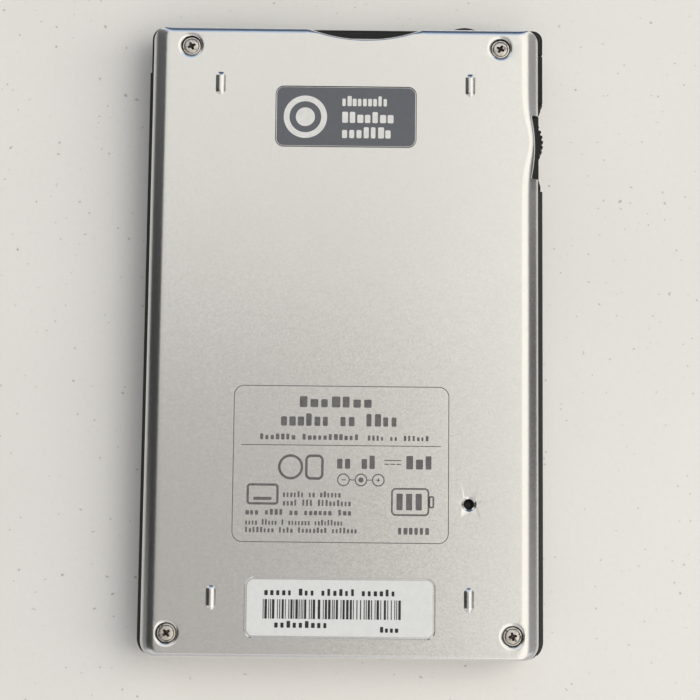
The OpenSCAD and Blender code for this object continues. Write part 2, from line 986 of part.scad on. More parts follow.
module jog_carrier() {
    back = wheel_spot[0] - wheel_radius - 1.2;
    low = wheel_base - 0.5;
    high = wheel_base + wheel_height + 0.6;
    color([0.3, 0.3, 0.32]) difference() {
        union() {
            box([back, 35, low], [back + 0.8, 45, high]);
            box([back, wheel_spot[1] - 2.5, low], [wheel_spot[0] + 2, wheel_spot[1] + 2.5, low + 0.3]);
            box([back, wheel_spot[1] - 2.5, high - 0.4], [wheel_spot[0] + 2, wheel_spot[1] + 2.5, high]);
        }
        translate([wheel_spot[0], wheel_spot[1], 0])
            cylinder(r = axle_radius, h = 20);
    }
}

module jog_encoder() {
    edge = wheel_spot[0] - wheel_radius - 2.2;
    color([0.2, 0.2, 0.22])
        box([edge - 4, 35, board_top], [edge, 45, board_top + 2.2]);
}

// ---- stylus and card ----

module stylus_barrel() {
    color(black)
        top_bore(stylus_spot, stylus_radius, inner_end - stylus_length, inner_end);
}

module stylus_tip() {
    start = inner_end - stylus_length;
    color([0.85, 0.85, 0.85])
        translate([stylus_spot[0], start, stylus_spot[1]])
            rotate([90, 0, 0])
                cylinder(r1 = stylus_radius - 0.2, r2 = 0.35, h = 4);
}

module stylus_cap() {
    end = top_face - 0.2;
    color(black) difference() {
        top_bore(stylus_spot, cap_radius, inner_end, end);
        box([stylus_spot[0] - 3, end - 0.8, stylus_spot[1] + 1.3],
            [stylus_spot[0] + 3, end - 0.3, stylus_spot[1] + 3]);
    }
}

module stylus_silo() {
    bottom = inner_end - stylus_length - 5;
    color([0.16, 0.16, 0.17]) difference() {
        top_bore(stylus_spot, silo_outer, bottom, inner_end - 0.05);
        top_bore(stylus_spot, silo_bore, bottom + 0.6, inner_end + 1);
    }
}

module card_slot_cage() {
    half = card_width / 2 + slot_gap;
    color(steel) difference() {
        box([slot_centre - half - cage_wall, cage_back, board_top],
            [slot_centre + half + cage_wall, inner_end - 0.1, slot_top + cage_wall]);
        box([slot_centre - half, cage_back + cage_wall, slot_floor],
            [slot_centre + half, half_length, slot_top]);
    }
}

module card_contacts() {
    color([0.8, 0.65, 0.2])
        for (pin = [0:8])
            translate([slot_centre - card_width / 2 + 2.6 + 2.3 * pin, cage_back + cage_wall, slot_floor])
                cube([0.9, 5, 0.08]);
}

module card_blank() {
    end = half_length - 0.25;
    low = slot_floor + 0.15;
    color(black)
        translate([slot_centre, end, low])
            linear_extrude(card_thickness)
                polygon([
                    [-card_width / 2, 0], [-card_width / 2, -card_length],
                    [card_width / 2 - 4, -card_length], [card_width / 2, 4 - card_length],
                    [card_width / 2, 0]
                ]);
}

// Every sub-part, moved so that the whole case is centred
translate([0, centre_shift, 0]) {
    rear_cover();
    front_bezel();
    mid_frame();
    left_side_rail();
    right_side_rail();
    case_screws();
    badge_label();
    rating_label();
    display_gasket();
    touch_panel();
    lcd_panel();
    backlight();
    display_frame();
    display_flex();
    insulating_sheet();
    main_board();
    board_chips();
    shield_can();
    board_screws();
    battery_pack();
    battery_pad();
    battery_lead();
    backup_cell();
    keypad_board();
    key_membrane();
    app_button_1();
    app_button_2();
    app_button_3();
    app_button_4();
    nav_pivot();
    nav_pad();
    nav_centre_button();
    power_button();
    power_switch();
    record_button();
    record_switch();
    jog_wheel();
    jog_axle();
    jog_carrier();
    jog_encoder();
    stylus_barrel();
    stylus_tip();
    stylus_cap();
    stylus_silo();
    card_slot_cage();
    card_contacts();
    card_blank();
    headphone_jack();
    infrared_window();
    infrared_module();
    dock_connector();
    speaker();
    speaker_mesh();
    microphone();
    led_light_pipe();
    reset_plunger();
    reset_switch();
}
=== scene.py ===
import json
import math
import random

import bmesh
import bpy
from mathutils import Matrix, Vector
from mathutils.geometry import delaunay_2d_cdt


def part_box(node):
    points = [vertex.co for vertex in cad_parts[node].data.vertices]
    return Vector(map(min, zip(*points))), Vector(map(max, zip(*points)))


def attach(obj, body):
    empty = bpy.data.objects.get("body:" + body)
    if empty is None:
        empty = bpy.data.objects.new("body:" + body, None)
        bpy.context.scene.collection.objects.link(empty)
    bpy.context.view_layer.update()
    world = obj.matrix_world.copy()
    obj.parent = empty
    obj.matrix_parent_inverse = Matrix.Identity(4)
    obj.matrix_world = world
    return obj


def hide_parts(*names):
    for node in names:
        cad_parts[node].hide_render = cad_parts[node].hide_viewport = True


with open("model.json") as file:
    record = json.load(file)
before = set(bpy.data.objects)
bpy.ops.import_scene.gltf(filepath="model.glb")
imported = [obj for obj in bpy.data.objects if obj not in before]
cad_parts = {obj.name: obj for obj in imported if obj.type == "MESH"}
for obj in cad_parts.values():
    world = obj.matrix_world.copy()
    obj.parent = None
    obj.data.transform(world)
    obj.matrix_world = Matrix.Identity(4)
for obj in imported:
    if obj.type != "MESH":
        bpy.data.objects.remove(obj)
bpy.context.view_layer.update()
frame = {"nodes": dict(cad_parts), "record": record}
NODES = frame["nodes"]
MM = 0.001

# ---------------------------------------------------------------- measures, in millimetres

# Shapes are drawn about the middle of the rear face, which lies this far below the case's centre.
SHIFT = Vector((0, -0.5, 0))
cover_low, cover_high = (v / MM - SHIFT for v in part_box("rear_cover"))
HALF_X, TOP_Y, BOTTOM_Y = cover_high.x, cover_high.y, cover_low.y
COVER_BASE = cover_low.z
FOOT_HEIGHT = 0.35
TOP = cover_high.z - FOOT_HEIGHT
ROOF = TOP - 1.2
ROOF_SIDE, ROOF_TOP, ROOF_BOTTOM = 3.0, 1.75, 1.4  # how far inside the outline the roof ends

# The long sides come down in an arc and end in a small round rim, whose width is a share of the arc's.
SHOULDER, SHOULDER_DROP = 3.5, 1.6
BEND = (SHOULDER**2 + SHOULDER_DROP**2) / (2 * SHOULDER_DROP * SHOULDER)
RIM = 0.12
END_TOP, END_TOP_DROP, END_BOTTOM = 1.4, 0.5, 1.1
TOP_RADIUS = (END_TOP**2 + END_TOP_DROP**2) / (2 * END_TOP_DROP)
CORNER_TOP, CORNER_BOTTOM = 2.4, 3.2
SWELL_SPOT, SWELL_LENGTH, SWELL = 39.4, 5.1, 1.55

# The finger notch in the top edge: a shallow arc with a rounded lip at each end.
NOTCH_X, NOTCH_RADIUS, NOTCH_FLOOR = 3.85, 31.56, 60.03
NOTCH_LIP, NOTCH_EDGE = 1.2, 0.5

SCREWS = [(-30.8, 58.35, 25), (30.8, 58.35, 62), (-33.25, -57.55, 40), (33.25, -57.55, 12)]
WELL_RADIUS, WELL_DEPTH = 2.0, 1.45
BORE_RADIUS, BOSS_RADIUS, CUP_RADIUS, CUP_DEPTH = 1.15, 2.0, 2.35, 1.1
HEAD_RADIUS, HEAD_HEIGHT = 1.85, 0.95
THREAD_RADIUS, ROOT_RADIUS, THREAD_PITCH, SCREW_TIP = 0.98, 0.8, 0.4, 2.2
FEET = [(-24.8, 50.7), (24.8, 50.7), (-24.8, -50.7), (24.8, -50.7)]
FOOT_WIDTH, FOOT_LENGTH = 1.95, 4.65
RESET = (24.75, -32.3)
BADGE, BADGE_POCKET = (0.15, 44.1), (28.0, 12.4)
LABEL, LABEL_POCKET = (0.0, -52.5), (36.8, 11.8)

# Openings: beside the jog wheel, over its hollow, and in the top end for the socket, stylus and card.
WINDOW_LOW, WINDOW_HIGH = 32.1, 44.9
WINDOW_EDGE, WINDOW_BULGE, WINDOW_BACK, WINDOW_DEPTH = 37.0, 0.7, 35.8, 1.7
WHEEL_SPOT, WHEEL_HOLLOW, WHEEL_ROOF = (32.6, 40.05), 7.4, 8.25
SOCKET_SPOT, SOCKET_RADIUS = (-25, 6), 3.45
STYLUS_SPOT, STYLUS_RADIUS = (-34.9, 6.1), 2.9
END_WALL = 2.7
CARD_LEFT, CARD_RIGHT, CARD_DEPTH, CARD_ROOF = -8.45, 16.15, 4.3, 9.15


def ease(t):
    """Smooth step from 0 to 1."""
    t = min(max(t, 0.0), 1.0)
    return t * t * (3 - 2 * t)


# ---------------------------------------------------------------- mesh helpers


class Build:
    """Collects vertices in millimetres and faces, and makes a mesh object from them."""

    def __init__(self):
        self.verts = []
        self.faces = []

    def add(self, point):
        self.verts.append(Vector(point))
        return len(self.verts) - 1

    def ring(self, points):
        return [self.add(p) for p in points]

    def bridge(self, a, b, closed=True):
        count = len(a)
        for i in range(count if closed else count - 1):
            j = (i + 1) % count
            face = []
            for v in (a[i], a[j], b[j], b[i]):
                if v not in face:
                    face.append(v)
            if len(face) > 2:
                self.faces.append(face)

    def skin(self, rings):
        """Bridges each ring to the next."""
        for a, b in zip(rings, rings[1:]):
            self.bridge(a, b)

    def cap(self, ring):
        self.faces.append(list(ring))

    def fill(self, z, outer, holes, grid=0.0):
        """Flat region at height z between an outer ring and hole rings, as triangles."""
        loops = [outer] + holes
        flat, known, edges = [], [], []
        for loop in loops:
            start = len(flat)
            for v in loop:
                flat.append(Vector((self.verts[v].x, self.verts[v].y)))
                known.append(v)
            edges += [(start + i, start + (i + 1) % len(loop)) for i in range(len(loop))]
        borders = [[Vector((self.verts[v].x, self.verts[v].y)) for v in loop] for loop in loops]
        if grid:
            low = [min(p[k] for p in borders[0]) for k in (0, 1)]
            high = [max(p[k] for p in borders[0]) for k in (0, 1)]
            y = low[1] + grid / 2
            while y < high[1]:
                x = low[0] + grid / 2
                while x < high[0]:
                    p = Vector((x, y))
                    clear = min((p - q).length for border in borders for q in border)
                    if clear > grid * 0.35 and inside(p, borders[0]) and not any(
                        inside(p, hole) for hole in borders[1:]
                    ):
                        flat.append(p)
                        known.append(None)
                    x += grid
                y += grid
        points, _, faces, origin, _, _ = delaunay_2d_cdt(flat, edges, [], 1, 1e-5)
        index = []
        for p, source in zip(points, origin):
            old = [known[i] for i in source if known[i] is not None]
            index.append(old[0] if old else self.add((p.x, p.y, z)))
        for face in faces:
            middle = sum((points[i] for i in face), Vector((0, 0))) / len(face)
            if inside(middle, borders[0]) and not any(inside(middle, h) for h in borders[1:]):
                self.faces.append([index[i] for i in face])

    def object(self, name, sharp=32.0):
        mesh = bpy.data.meshes.new(name)
        mesh.from_pydata([(v + SHIFT) * MM for v in self.verts], [], self.faces)
        work = bmesh.new()
        work.from_mesh(mesh)
        bmesh.ops.remove_doubles(work, verts=work.verts, dist=1e-7)
        bmesh.ops.recalc_face_normals(work, faces=work.faces)
        for face in work.faces:
            face.smooth = True
        work.to_mesh(mesh)
        work.free()
        mesh.set_sharp_from_angle(angle=math.radians(sharp))
        obj = bpy.data.objects.new(name, mesh)
        bpy.context.scene.collection.objects.link(obj)
        return obj


def inside(p, loop):
    """Whether a point is inside a closed outline."""
    hit = False
    j = len(loop) - 1
    for i in range(len(loop)):
        a, b = loop[i], loop[j]
        if (a.y > p.y) != (b.y > p.y) and p.x < (b.x - a.x) * (p.y - a.y) / (b.y - a.y) + a.x:
            hit = not hit
        j = i
    return hit


def circle(centre, radius, z, count=48, turn=0.0):
    points = []
    for i in range(count):
        angle = 2 * math.pi * i / count + turn
        points.append((centre[0] + radius * math.cos(angle), centre[1] + radius * math.sin(angle), z))
    return points


def rounded(centre, size, radius, z, steps=8, inset=0.0):
    """Rectangle with round corners."""
    half_x, half_y = size[0] / 2 - inset, size[1] / 2 - inset
    radius = max(radius - inset, 0.02)
    points = []
    for quarter, (sx, sy) in enumerate([(1, 1), (-1, 1), (-1, -1), (1, -1)]):
        for i in range(steps + 1):
            angle = math.pi / 2 * (quarter + i / steps)
            x = centre[0] + sx * (half_x - radius) + radius * math.cos(angle)
            y = centre[1] + sy * (half_y - radius) + radius * math.sin(angle)
            points.append((x, y, z))
    return points


def cut(obj, cutter):
    """Takes the cutter away from the object for good, and removes the cutter."""
    step = obj.modifiers.new("cut", "BOOLEAN")
    step.operation, step.solver, step.object = "DIFFERENCE", "EXACT", cutter
    bpy.context.view_layer.update()
    graph = bpy.context.evaluated_depsgraph_get()
    mesh = bpy.data.meshes.new_from_object(obj.evaluated_get(graph))
    obj.modifiers.clear()
    old = obj.data
    mesh.name = old.name
    obj.data = mesh
    bpy.data.meshes.remove(old)
    used = cutter.data
    bpy.data.objects.remove(cutter)
    bpy.data.meshes.remove(used)


def even_normals(obj):
    step = obj.modifiers.new("normals", "WEIGHTED_NORMAL")
    step.keep_sharp = True
    step.weight = 60


# ---------------------------------------------------------------- rear cover


def edge_profile(width, radius, tilt):
    """Inset and depth where a rounded edge has this tilt.

    The edge is an arc of the given radius that comes down from the flat, and then a small
    round rim into the wall. With a radius equal to its width it is a plain quarter round.
    """
    rim = RIM * width
    down = radius - math.sqrt(max(0.0, (radius - rim) ** 2 - (width - rim) ** 2))
    if math.sin(tilt) * (radius - rim) > width - rim:
        return rim * (1 - math.sin(tilt)), down - rim * math.cos(tilt)
    return width - radius * math.sin(tilt), radius * (1 - math.cos(tilt))


def shoulder_at(side, y):
    """Width of the long shoulder: it tightens beside the jog wheel."""
    if side > 0:
        return SHOULDER - SWELL * math.exp(-(((y - SWELL_SPOT) / SWELL_LENGTH) ** 2))
    return SHOULDER


def notch_edge(x):
    """Y of the top edge, which dips at the card slot, and how far the dip has set in."""
    dx = abs(x - NOTCH_X)
    centre_y = NOTCH_FLOOR + NOTCH_RADIUS
    reach = NOTCH_RADIUS + NOTCH_LIP
    far = math.sqrt(reach**2 - (centre_y - TOP_Y + NOTCH_LIP) ** 2)
    near = far * NOTCH_RADIUS / reach
    share = ease((far + 0.4 - dx) / 3.0)
    if dx >= far:
        return TOP_Y, share
    if dx > near:
        return TOP_Y - NOTCH_LIP + math.sqrt(NOTCH_LIP**2 - (dx - far) ** 2), share
    return centre_y - math.sqrt(NOTCH_RADIUS**2 - dx**2), share


def spread(start, end, step):
    """Even values from start up to, but not including, end."""
    count = max(2, int(math.ceil(abs(end - start) / step)))
    return [start + (end - start) * i / count for i in range(count)]


def stretch(value, end, new_end, fixed):
    """Moves values beyond the fixed part so that the old end lands on the new one."""
    size = abs(value)
    if size <= fixed:
        return value
    return math.copysign(fixed + (size - fixed) * (new_end - fixed) / (end - fixed), value)


ARC_STEPS = 16
SIDE_TOP, SIDE_BOTTOM = TOP_Y - CORNER_TOP, BOTTOM_Y + CORNER_BOTTOM
side_ys = spread(SIDE_BOTTOM, 22, 1.4) + spread(22, 56, 0.55) + spread(56, SIDE_TOP, 0.6)
top_half, bottom_half = HALF_X - CORNER_TOP, HALF_X - CORNER_BOTTOM
top_xs = spread(top_half, 19, 1.0) + spread(19, 14, 0.2) + spread(14, -6, 0.6)
top_xs += spread(-6, -12, 0.2) + spread(-12, -top_half, 1.0)
bottom_xs = spread(-bottom_half, bottom_half, 1.2)


def edge_loop(side, top, bottom, top_radius, bottom_radius, notch=None, lean=0.0):
    """Closed loop inside the cover's outline, point for point the same for every inset.

    side, top and bottom are the insets; side may depend on which side it is and on Y.
    notch is the inset along the dip at the card slot, and lean is how far the inset there
    follows the slope of the dip instead of going straight down.
    """
    points = []
    high, low = TOP_Y - top, BOTTOM_Y + bottom

    def right_left(way):
        for y in side_ys if way > 0 else reversed(side_ys[1:] + [SIDE_TOP]):
            if y > 0:
                level = stretch(y, SIDE_TOP, high - top_radius, 50)
            else:
                level = stretch(y, -SIDE_BOTTOM, -(low + bottom_radius), 50)
            points.append(Vector((way * (HALF_X - side(way, y)), level)))

    def arc(way, level, radius, first):
        reach = HALF_X - side(way, level)
        centre = Vector((way * (reach - radius), level))
        for i in range(ARC_STEPS):
            angle = math.radians(first + 90 * i / ARC_STEPS)
            points.append(centre + radius * Vector((math.cos(angle), math.sin(angle))))

    right_left(1)
    arc(1, high - top_radius, top_radius, 0)
    for x in top_xs:
        y, share = notch_edge(x)
        slope = (notch_edge(x + 1.2)[0] - notch_edge(x - 1.2)[0]) / 2.4
        inward = Vector((slope * lean, -1))
        depth = top + ((top if notch is None else notch) - top) * share
        reach = HALF_X - side(math.copysign(1, x), 60) - top_radius
        points.append(Vector((stretch(x, top_half, reach, 25), y)) + inward * depth)
    arc(-1, high - top_radius, top_radius, 90)
    right_left(-1)
    arc(-1, low + bottom_radius, bottom_radius, 180)
    reach = HALF_X - side(1, -60) - bottom_radius
    for x in bottom_xs:
        points.append(Vector((stretch(x, bottom_half, reach, 25), low)))
    arc(1, low + bottom_radius, bottom_radius, 270)
    return points


def edge_shapes():
    """Width and radius of the rounded edge at each point of those loops."""
    side, top, bottom = (SHOULDER, BEND * SHOULDER), (END_TOP, TOP_RADIUS), (END_BOTTOM, END_BOTTOM)
    shapes = [(shoulder_at(1, y), BEND * shoulder_at(1, y)) for y in side_ys]

    def blend(start, end):
        for i in range(ARC_STEPS):
            share = ease(i / ARC_STEPS)
            shapes.append(tuple(a + (b - a) * share for a, b in zip(start, end)))

    blend(side, top)
    for x in top_xs:
        share = notch_edge(x)[1]
        shapes.append(tuple(a + (NOTCH_EDGE - a) * share for a in top))
    blend(top, side)
    shapes.extend([side] * len(side_ys))
    blend(side, bottom)
    shapes.extend([bottom] * len(bottom_xs))
    blend(bottom, side)
    return shapes


# Radius and depth of the shallow dish round a screw, and of its well.
WELL_LIP = [
    (2.75, 0.0), (2.6, 0.012), (2.42, 0.045), (2.25, 0.09), (2.12, 0.14),
    (WELL_RADIUS + 0.04, 0.2), (WELL_RADIUS, 0.28), (WELL_RADIUS, WELL_DEPTH),
]


def screw_well(build, spot):
    """Bore and boss of a screw, kept clear of the walls; its dished well is cut later."""
    reach_x, reach_y = HALF_X - ROOF_SIDE - 0.02, TOP_Y - ROOF_TOP - 0.02
    rings = [
        (BORE_RADIUS, TOP), (BORE_RADIUS, COVER_BASE),
        (BOSS_RADIUS, COVER_BASE), (BOSS_RADIUS, ROOF - CUP_DEPTH),
        (CUP_RADIUS, ROOF - CUP_DEPTH), (CUP_RADIUS, ROOF),
    ]
    made = []
    for radius, z in rings:
        points = circle(spot, radius, z)
        made.append(build.ring([(max(-reach_x, min(x, reach_x)), min(y, reach_y), z) for x, y, _ in points]))
    build.skin(made)
    return made[0], made[-1]


def well_cutter(spot):
    """Solid that cuts a dish and well, wherever the cover's outside lies at that place."""
    build = Build()
    rings = [(r, 0.002 - down) for r, down in reversed(WELL_LIP)] + [(2.9, 0.03), (3.1, 0.6)]
    made = [build.ring(circle(spot, r, TOP + up, turn=0.03)) for r, up in rings]
    build.skin(made)
    build.cap(made[0])
    build.cap(made[-1])
    return build.object("well_cutter")


def reset_well(build):
    """Through hole over the reset plunger, with a rounded mouth."""
    rings = [(1.52, TOP), (1.44, TOP - 0.03), (1.03, TOP - 0.3), (1.0, TOP - 0.4), (1.0, ROOF)]
    made = [build.ring(circle(RESET, r, z, 36)) for r, z in rings]
    build.skin(made)
    return made[0], made[-1]


def pocket(build, centre, size, radius, depth, slope):
    """Shallow recess with sloped sides; slope is how far its floor is inset."""
    made = [
        build.ring(rounded(centre, size, radius, TOP)),
        build.ring(rounded(centre, size, radius, TOP - depth * 0.2, inset=slope * 0.3)),
        build.ring(rounded(centre, size, radius, TOP - depth * 0.85, inset=slope * 0.9)),
        build.ring(rounded(centre, size, radius, TOP - depth, inset=slope * 1.3)),
    ]
    build.skin(made)
    build.cap(made[-1])
    return made[0]


def foot(build, centre):
    """Rounded foot with a crown along its length and soft ends."""
    levels = [(0.0, 0.0), (0.08, 0.055), (0.2, 0.125), (0.36, 0.2), (0.55, 0.27), (0.76, 0.325)]
    rings = [
        build.ring(rounded(centre, (FOOT_WIDTH, FOOT_LENGTH), FOOT_WIDTH / 2, TOP + rise, inset=inset))
        for inset, rise in levels
    ]
    build.skin(rings)
    ridge = []
    for v in rings[-1]:
        y = build.verts[v].y
        ridge.append(build.add((centre[0], y, TOP + FOOT_HEIGHT)))
    build.bridge(rings[-1], ridge)
    return rings[0]


def make_cover():
    """Rear cover: outside from the hem up to the flat, then the inside walls and the roof."""
    build = Build()
    outer = edge_loop(lambda way, y: 0.0, 0.0, 0.0, CORNER_TOP, CORNER_BOTTOM)
    flat = edge_loop(shoulder_at, END_TOP, END_BOTTOM, 1.0, 1.2, NOTCH_EDGE, 1.0)
    shapes = edge_shapes()

    def ring(points, z):
        return build.ring([(p.x, p.y, z) for p in points])

    small = 0.12
    hem = edge_loop(lambda way, y: small, small, small, CORNER_TOP - small, CORNER_BOTTOM - small)
    rings = [ring(hem, COVER_BASE), ring(outer, COVER_BASE + small)]
    steps = 24
    for i in range(steps + 1):
        tilt = math.pi / 2 * (1 - i / steps)
        points = []
        for p, q, (width, radius) in zip(outer, flat, shapes):
            inset, depth = edge_profile(width, radius, tilt)
            points.append((*(p + (q - p) * inset / width), TOP - depth))
        rings.append(build.ring(points))
    build.skin(rings)

    wall = edge_loop(lambda way, y: 1.2, 1.7, 1.4, 1.0, 1.8, 1.4)
    edge = edge_loop(lambda way, y: 1.7, 1.7, 1.4, 0.9, 1.6, 1.4)
    roof = edge_loop(lambda way, y: ROOF_SIDE, ROOF_TOP, ROOF_BOTTOM, 0.7, 1.0, 1.4)
    inner = [
        ring(wall, COVER_BASE), ring(wall, COVER_BASE + 1.2), ring(edge, ROOF - 0.6), ring(roof, ROOF),
    ]
    build.bridge(rings[0], inner[0])
    build.skin(inner)

    over, under = [], []
    for x, y, _ in SCREWS:
        a, b = screw_well(build, (x, y))
        over.append(a)
        under.append(b)
    a, b = reset_well(build)
    over.append(a)
    under.append(b)
    over.append(pocket(build, BADGE, BADGE_POCKET, 1.7, 0.25, 0.1))
    over.append(pocket(build, LABEL, LABEL_POCKET, 1.8, 0.2, 0.18))
    for spot in FEET:
        over.append(foot(build, spot))
    build.fill(TOP, rings[-1], over, 4.0)
    build.fill(ROOF, inner[-1], under)
    return build.object("rear_cover_shell")


def surface_height(x, y):
    """Height of the cover's outside at a point near its right edge."""
    width = shoulder_at(1, y)
    inset = HALF_X - x
    if inset >= width:
        return TOP
    radius = BEND * width
    return TOP - radius + math.sqrt(radius**2 - (width - max(inset, 0.0)) ** 2)


def window_cutter():
    """Opening beside the jog wheel, with a rounded lip along its inner edge."""
    build = Build()
    middle, half = (WINDOW_LOW + WINDOW_HIGH) / 2, (WINDOW_HIGH - WINDOW_LOW) / 2
    rows = []
    corner = 0.4
    ys = [WINDOW_LOW + d for d in (0, 0.06, 0.16, 0.28, 0.4)]
    ys += spread(WINDOW_LOW + 0.8, WINDOW_HIGH - 0.8, 0.5)
    ys += [WINDOW_HIGH - d for d in (0.8, 0.4, 0.28, 0.16, 0.06, 0)]
    for y in ys:
        edge = WINDOW_EDGE + WINDOW_BULGE * (1 - ((y - middle) / half) ** 2)
        near = min(y - WINDOW_LOW, WINDOW_HIGH - y)
        if near < corner:
            edge += corner - math.sqrt(max(0.0, corner**2 - (corner - near) ** 2))
        z = surface_height(edge, y)
        out = surface_height(edge - 0.32, y)
        profile = [
            (WINDOW_BACK, COVER_BASE - 1), (WINDOW_BACK, TOP - WINDOW_DEPTH),
            (edge, TOP - WINDOW_DEPTH), (edge, z - 0.2),
            (edge - 0.06, z - 0.07), (edge - 0.16, z + 0.4 * (out - z) - 0.01),
            (edge - 0.34, out + 0.06), (edge - 0.34, TOP + 1),
            (HALF_X + 2, TOP + 1), (HALF_X + 2, COVER_BASE - 1),
        ]
        rows.append(build.ring([(x, y, height) for x, height in profile]))
    build.skin(rows)
    build.cap(rows[0])
    build.cap(rows[-1])
    return build.object("window_cutter")


def rod_cutter(centre, radius, axis, low, high, count=64):
    """Round rod along y or z; centre is (x, z) or (x, y)."""
    build = Build()
    rings = []
    for level in (low, high):
        points = circle(centre, radius, level, count)
        rings.append(build.ring(points if axis == "z" else [(u, y, v) for u, v, y in points]))
    build.bridge(rings[0], rings[1])
    build.cap(rings[0])
    build.cap(rings[1])
    return build.object("rod_cutter")


def block(build, low, high):
    """Box between two corners."""
    corners = [
        build.add((x, y, z))
        for z in (low[2], high[2])
        for y in (low[1], high[1])
        for x in (low[0], high[0])
    ]
    for face in ((0, 1, 3, 2), (4, 5, 7, 6), (0, 1, 5, 4), (2, 3, 7, 6), (0, 2, 6, 4), (1, 3, 7, 5)):
        build.faces.append([corners[i] for i in face])


cover = make_cover()
cut(cover, window_cutter())
for x, y, _ in SCREWS:
    cut(cover, well_cutter((x, y)))
cut(cover, rod_cutter(WHEEL_SPOT, WHEEL_HOLLOW, "z", COVER_BASE - 1, WHEEL_ROOF))
for spot, radius in ((SOCKET_SPOT, SOCKET_RADIUS), (STYLUS_SPOT, STYLUS_RADIUS)):
    cut(cover, rod_cutter(spot, radius, "y", TOP_Y - END_WALL, TOP_Y + 1))
mouth = Build()
block(mouth, (CARD_LEFT, TOP_Y - CARD_DEPTH, COVER_BASE - 1), (CARD_RIGHT, TOP_Y + 1, CARD_ROOF))
cut(cover, mouth.object("mouth_cutter"))
cover.data.set_sharp_from_angle(angle=math.radians(32))
even_normals(cover)
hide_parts("rear_cover")
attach(cover, "case")

# ---------------------------------------------------------------- screws


# One arm of the cross recess, as distances along and across it.
CROSS_ARM = ((0.33, 0.33), (0.5, 0.26), (0.76, 0.24), (0.86, 0.0), (0.76, -0.24), (0.5, -0.26))
CROSS_LEVELS = ((0.0, 1.0), (0.05, 0.95), (0.62, 0.7))
CROSS_DEPTH = 0.72


def make_screws():
    """The four case screws: flanged heads with a ring groove and a cross, and threaded shanks."""
    build = Build()
    seat = TOP - WELL_DEPTH
    crown = seat + HEAD_HEIGHT
    profile = [
        (0.95, seat), (1.7, seat), (1.8, seat + 0.08), (HEAD_RADIUS, seat + 0.3),
        (HEAD_RADIUS, crown - 0.26), (1.8, crown - 0.16), (1.7, crown - 0.12), (1.52, crown - 0.13),
        (1.49, crown - 0.22), (1.44, crown - 0.22), (1.41, crown - 0.1), (1.3, crown - 0.03), (1.1, crown),
    ]
    for x, y, turn in SCREWS:
        rings = [build.ring(circle((x, y), r, z)) for r, z in profile]
        build.skin(rings)
        star = []
        for depth, size in CROSS_LEVELS:
            points = []
            for arm in range(4):
                for along, across in CROSS_ARM:
                    angle = math.radians(turn + 90 * arm)
                    cos, sin = math.cos(angle), math.sin(angle)
                    px, py = along * size, -across * size
                    points.append((x + px * cos - py * sin, y + px * sin + py * cos, crown - depth))
            star.append(build.ring(points))
        build.bridge(star[0], star[1])
        build.bridge(star[1], star[2])
        floor = build.add((x, y, crown - CROSS_DEPTH))
        for i in range(len(star[2])):
            build.faces.append([star[2][i], star[2][(i + 1) % len(star[2])], floor])
        build.fill(crown, rings[-1], [star[0]])
        thread = [rings[0]]
        level = seat
        while level > SCREW_TIP + 0.5:
            thread.append(build.ring(circle((x, y), THREAD_RADIUS, level - 0.1)))
            thread.append(build.ring(circle((x, y), ROOT_RADIUS, level - 0.25)))
            level -= THREAD_PITCH
        thread.append(build.ring(circle((x, y), 0.5, SCREW_TIP)))
        build.skin(thread)
        build.cap(thread[-1])
    return build.object("case_screw_set", 40)


screws = make_screws()
even_normals(screws)
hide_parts("case_screws")
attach(screws, "case")

# ---------------------------------------------------------------- printing, as thin raised films


class Print(Build):
    """Flat marks of ink a few hundredths of a millimetre thick."""

    def __init__(self, z, thick=0.02):
        super().__init__()
        self.z, self.thick = z, thick

    def solid(self, outline):
        low = self.ring([(p[0], p[1], self.z) for p in outline])
        high = self.ring([(p[0], p[1], self.z + self.thick) for p in outline])
        self.bridge(low, high)
        self.cap(low)
        self.cap(high)

    def loop(self, outer, inner):
        rings = []
        for outline, z in ((outer, 0), (outer, self.thick), (inner, self.thick), (inner, 0)):
            rings.append(self.ring([(p[0], p[1], self.z + z) for p in outline]))
        for i in range(4):
            self.bridge(rings[i], rings[(i + 1) % 4])

    def bar(self, x0, x1, y0, y1, radius=0.1):
        radius = min(radius, (x1 - x0) / 2 - 0.001, (y1 - y0) / 2 - 0.001)
        self.solid(rounded(((x0 + x1) / 2, (y0 + y1) / 2), (x1 - x0, y1 - y0), radius, 0, 3))

    def frame(self, centre, size, radius, line, steps=8):
        self.loop(
            rounded(centre, size, radius, 0, steps),
            rounded(centre, size, radius, 0, steps, inset=line),
        )

    def disc(self, centre, radius, count=32):
        self.solid(circle(centre, radius, 0, count))

    def annulus(self, centre, radius, line, count=36):
        self.loop(circle(centre, radius, 0, count), circle(centre, radius - line, 0, count))

    def words(self, x0, x1, y0, y1, lengths, seed, stroke=0.2, pitch=0.9, gap=1.1):
        """A line of plain blocks, grouped like words, that fills the given box."""
        chance = random.Random(seed)
        cells = sum(lengths) + gap * (len(lengths) - 1)
        step = (x1 - x0) / cells
        x = x0
        for length in lengths:
            for _ in range(length):
                top = y1 if chance.random() < 0.35 else y0 + (y1 - y0) * 0.74
                width = step * pitch * chance.uniform(0.62, 0.86)
                self.bar(x, x + width, y0, top, stroke)
                x += step
            x += gap * step


# Prints start a little inside the surface they lie on.
SUNK = 0.004

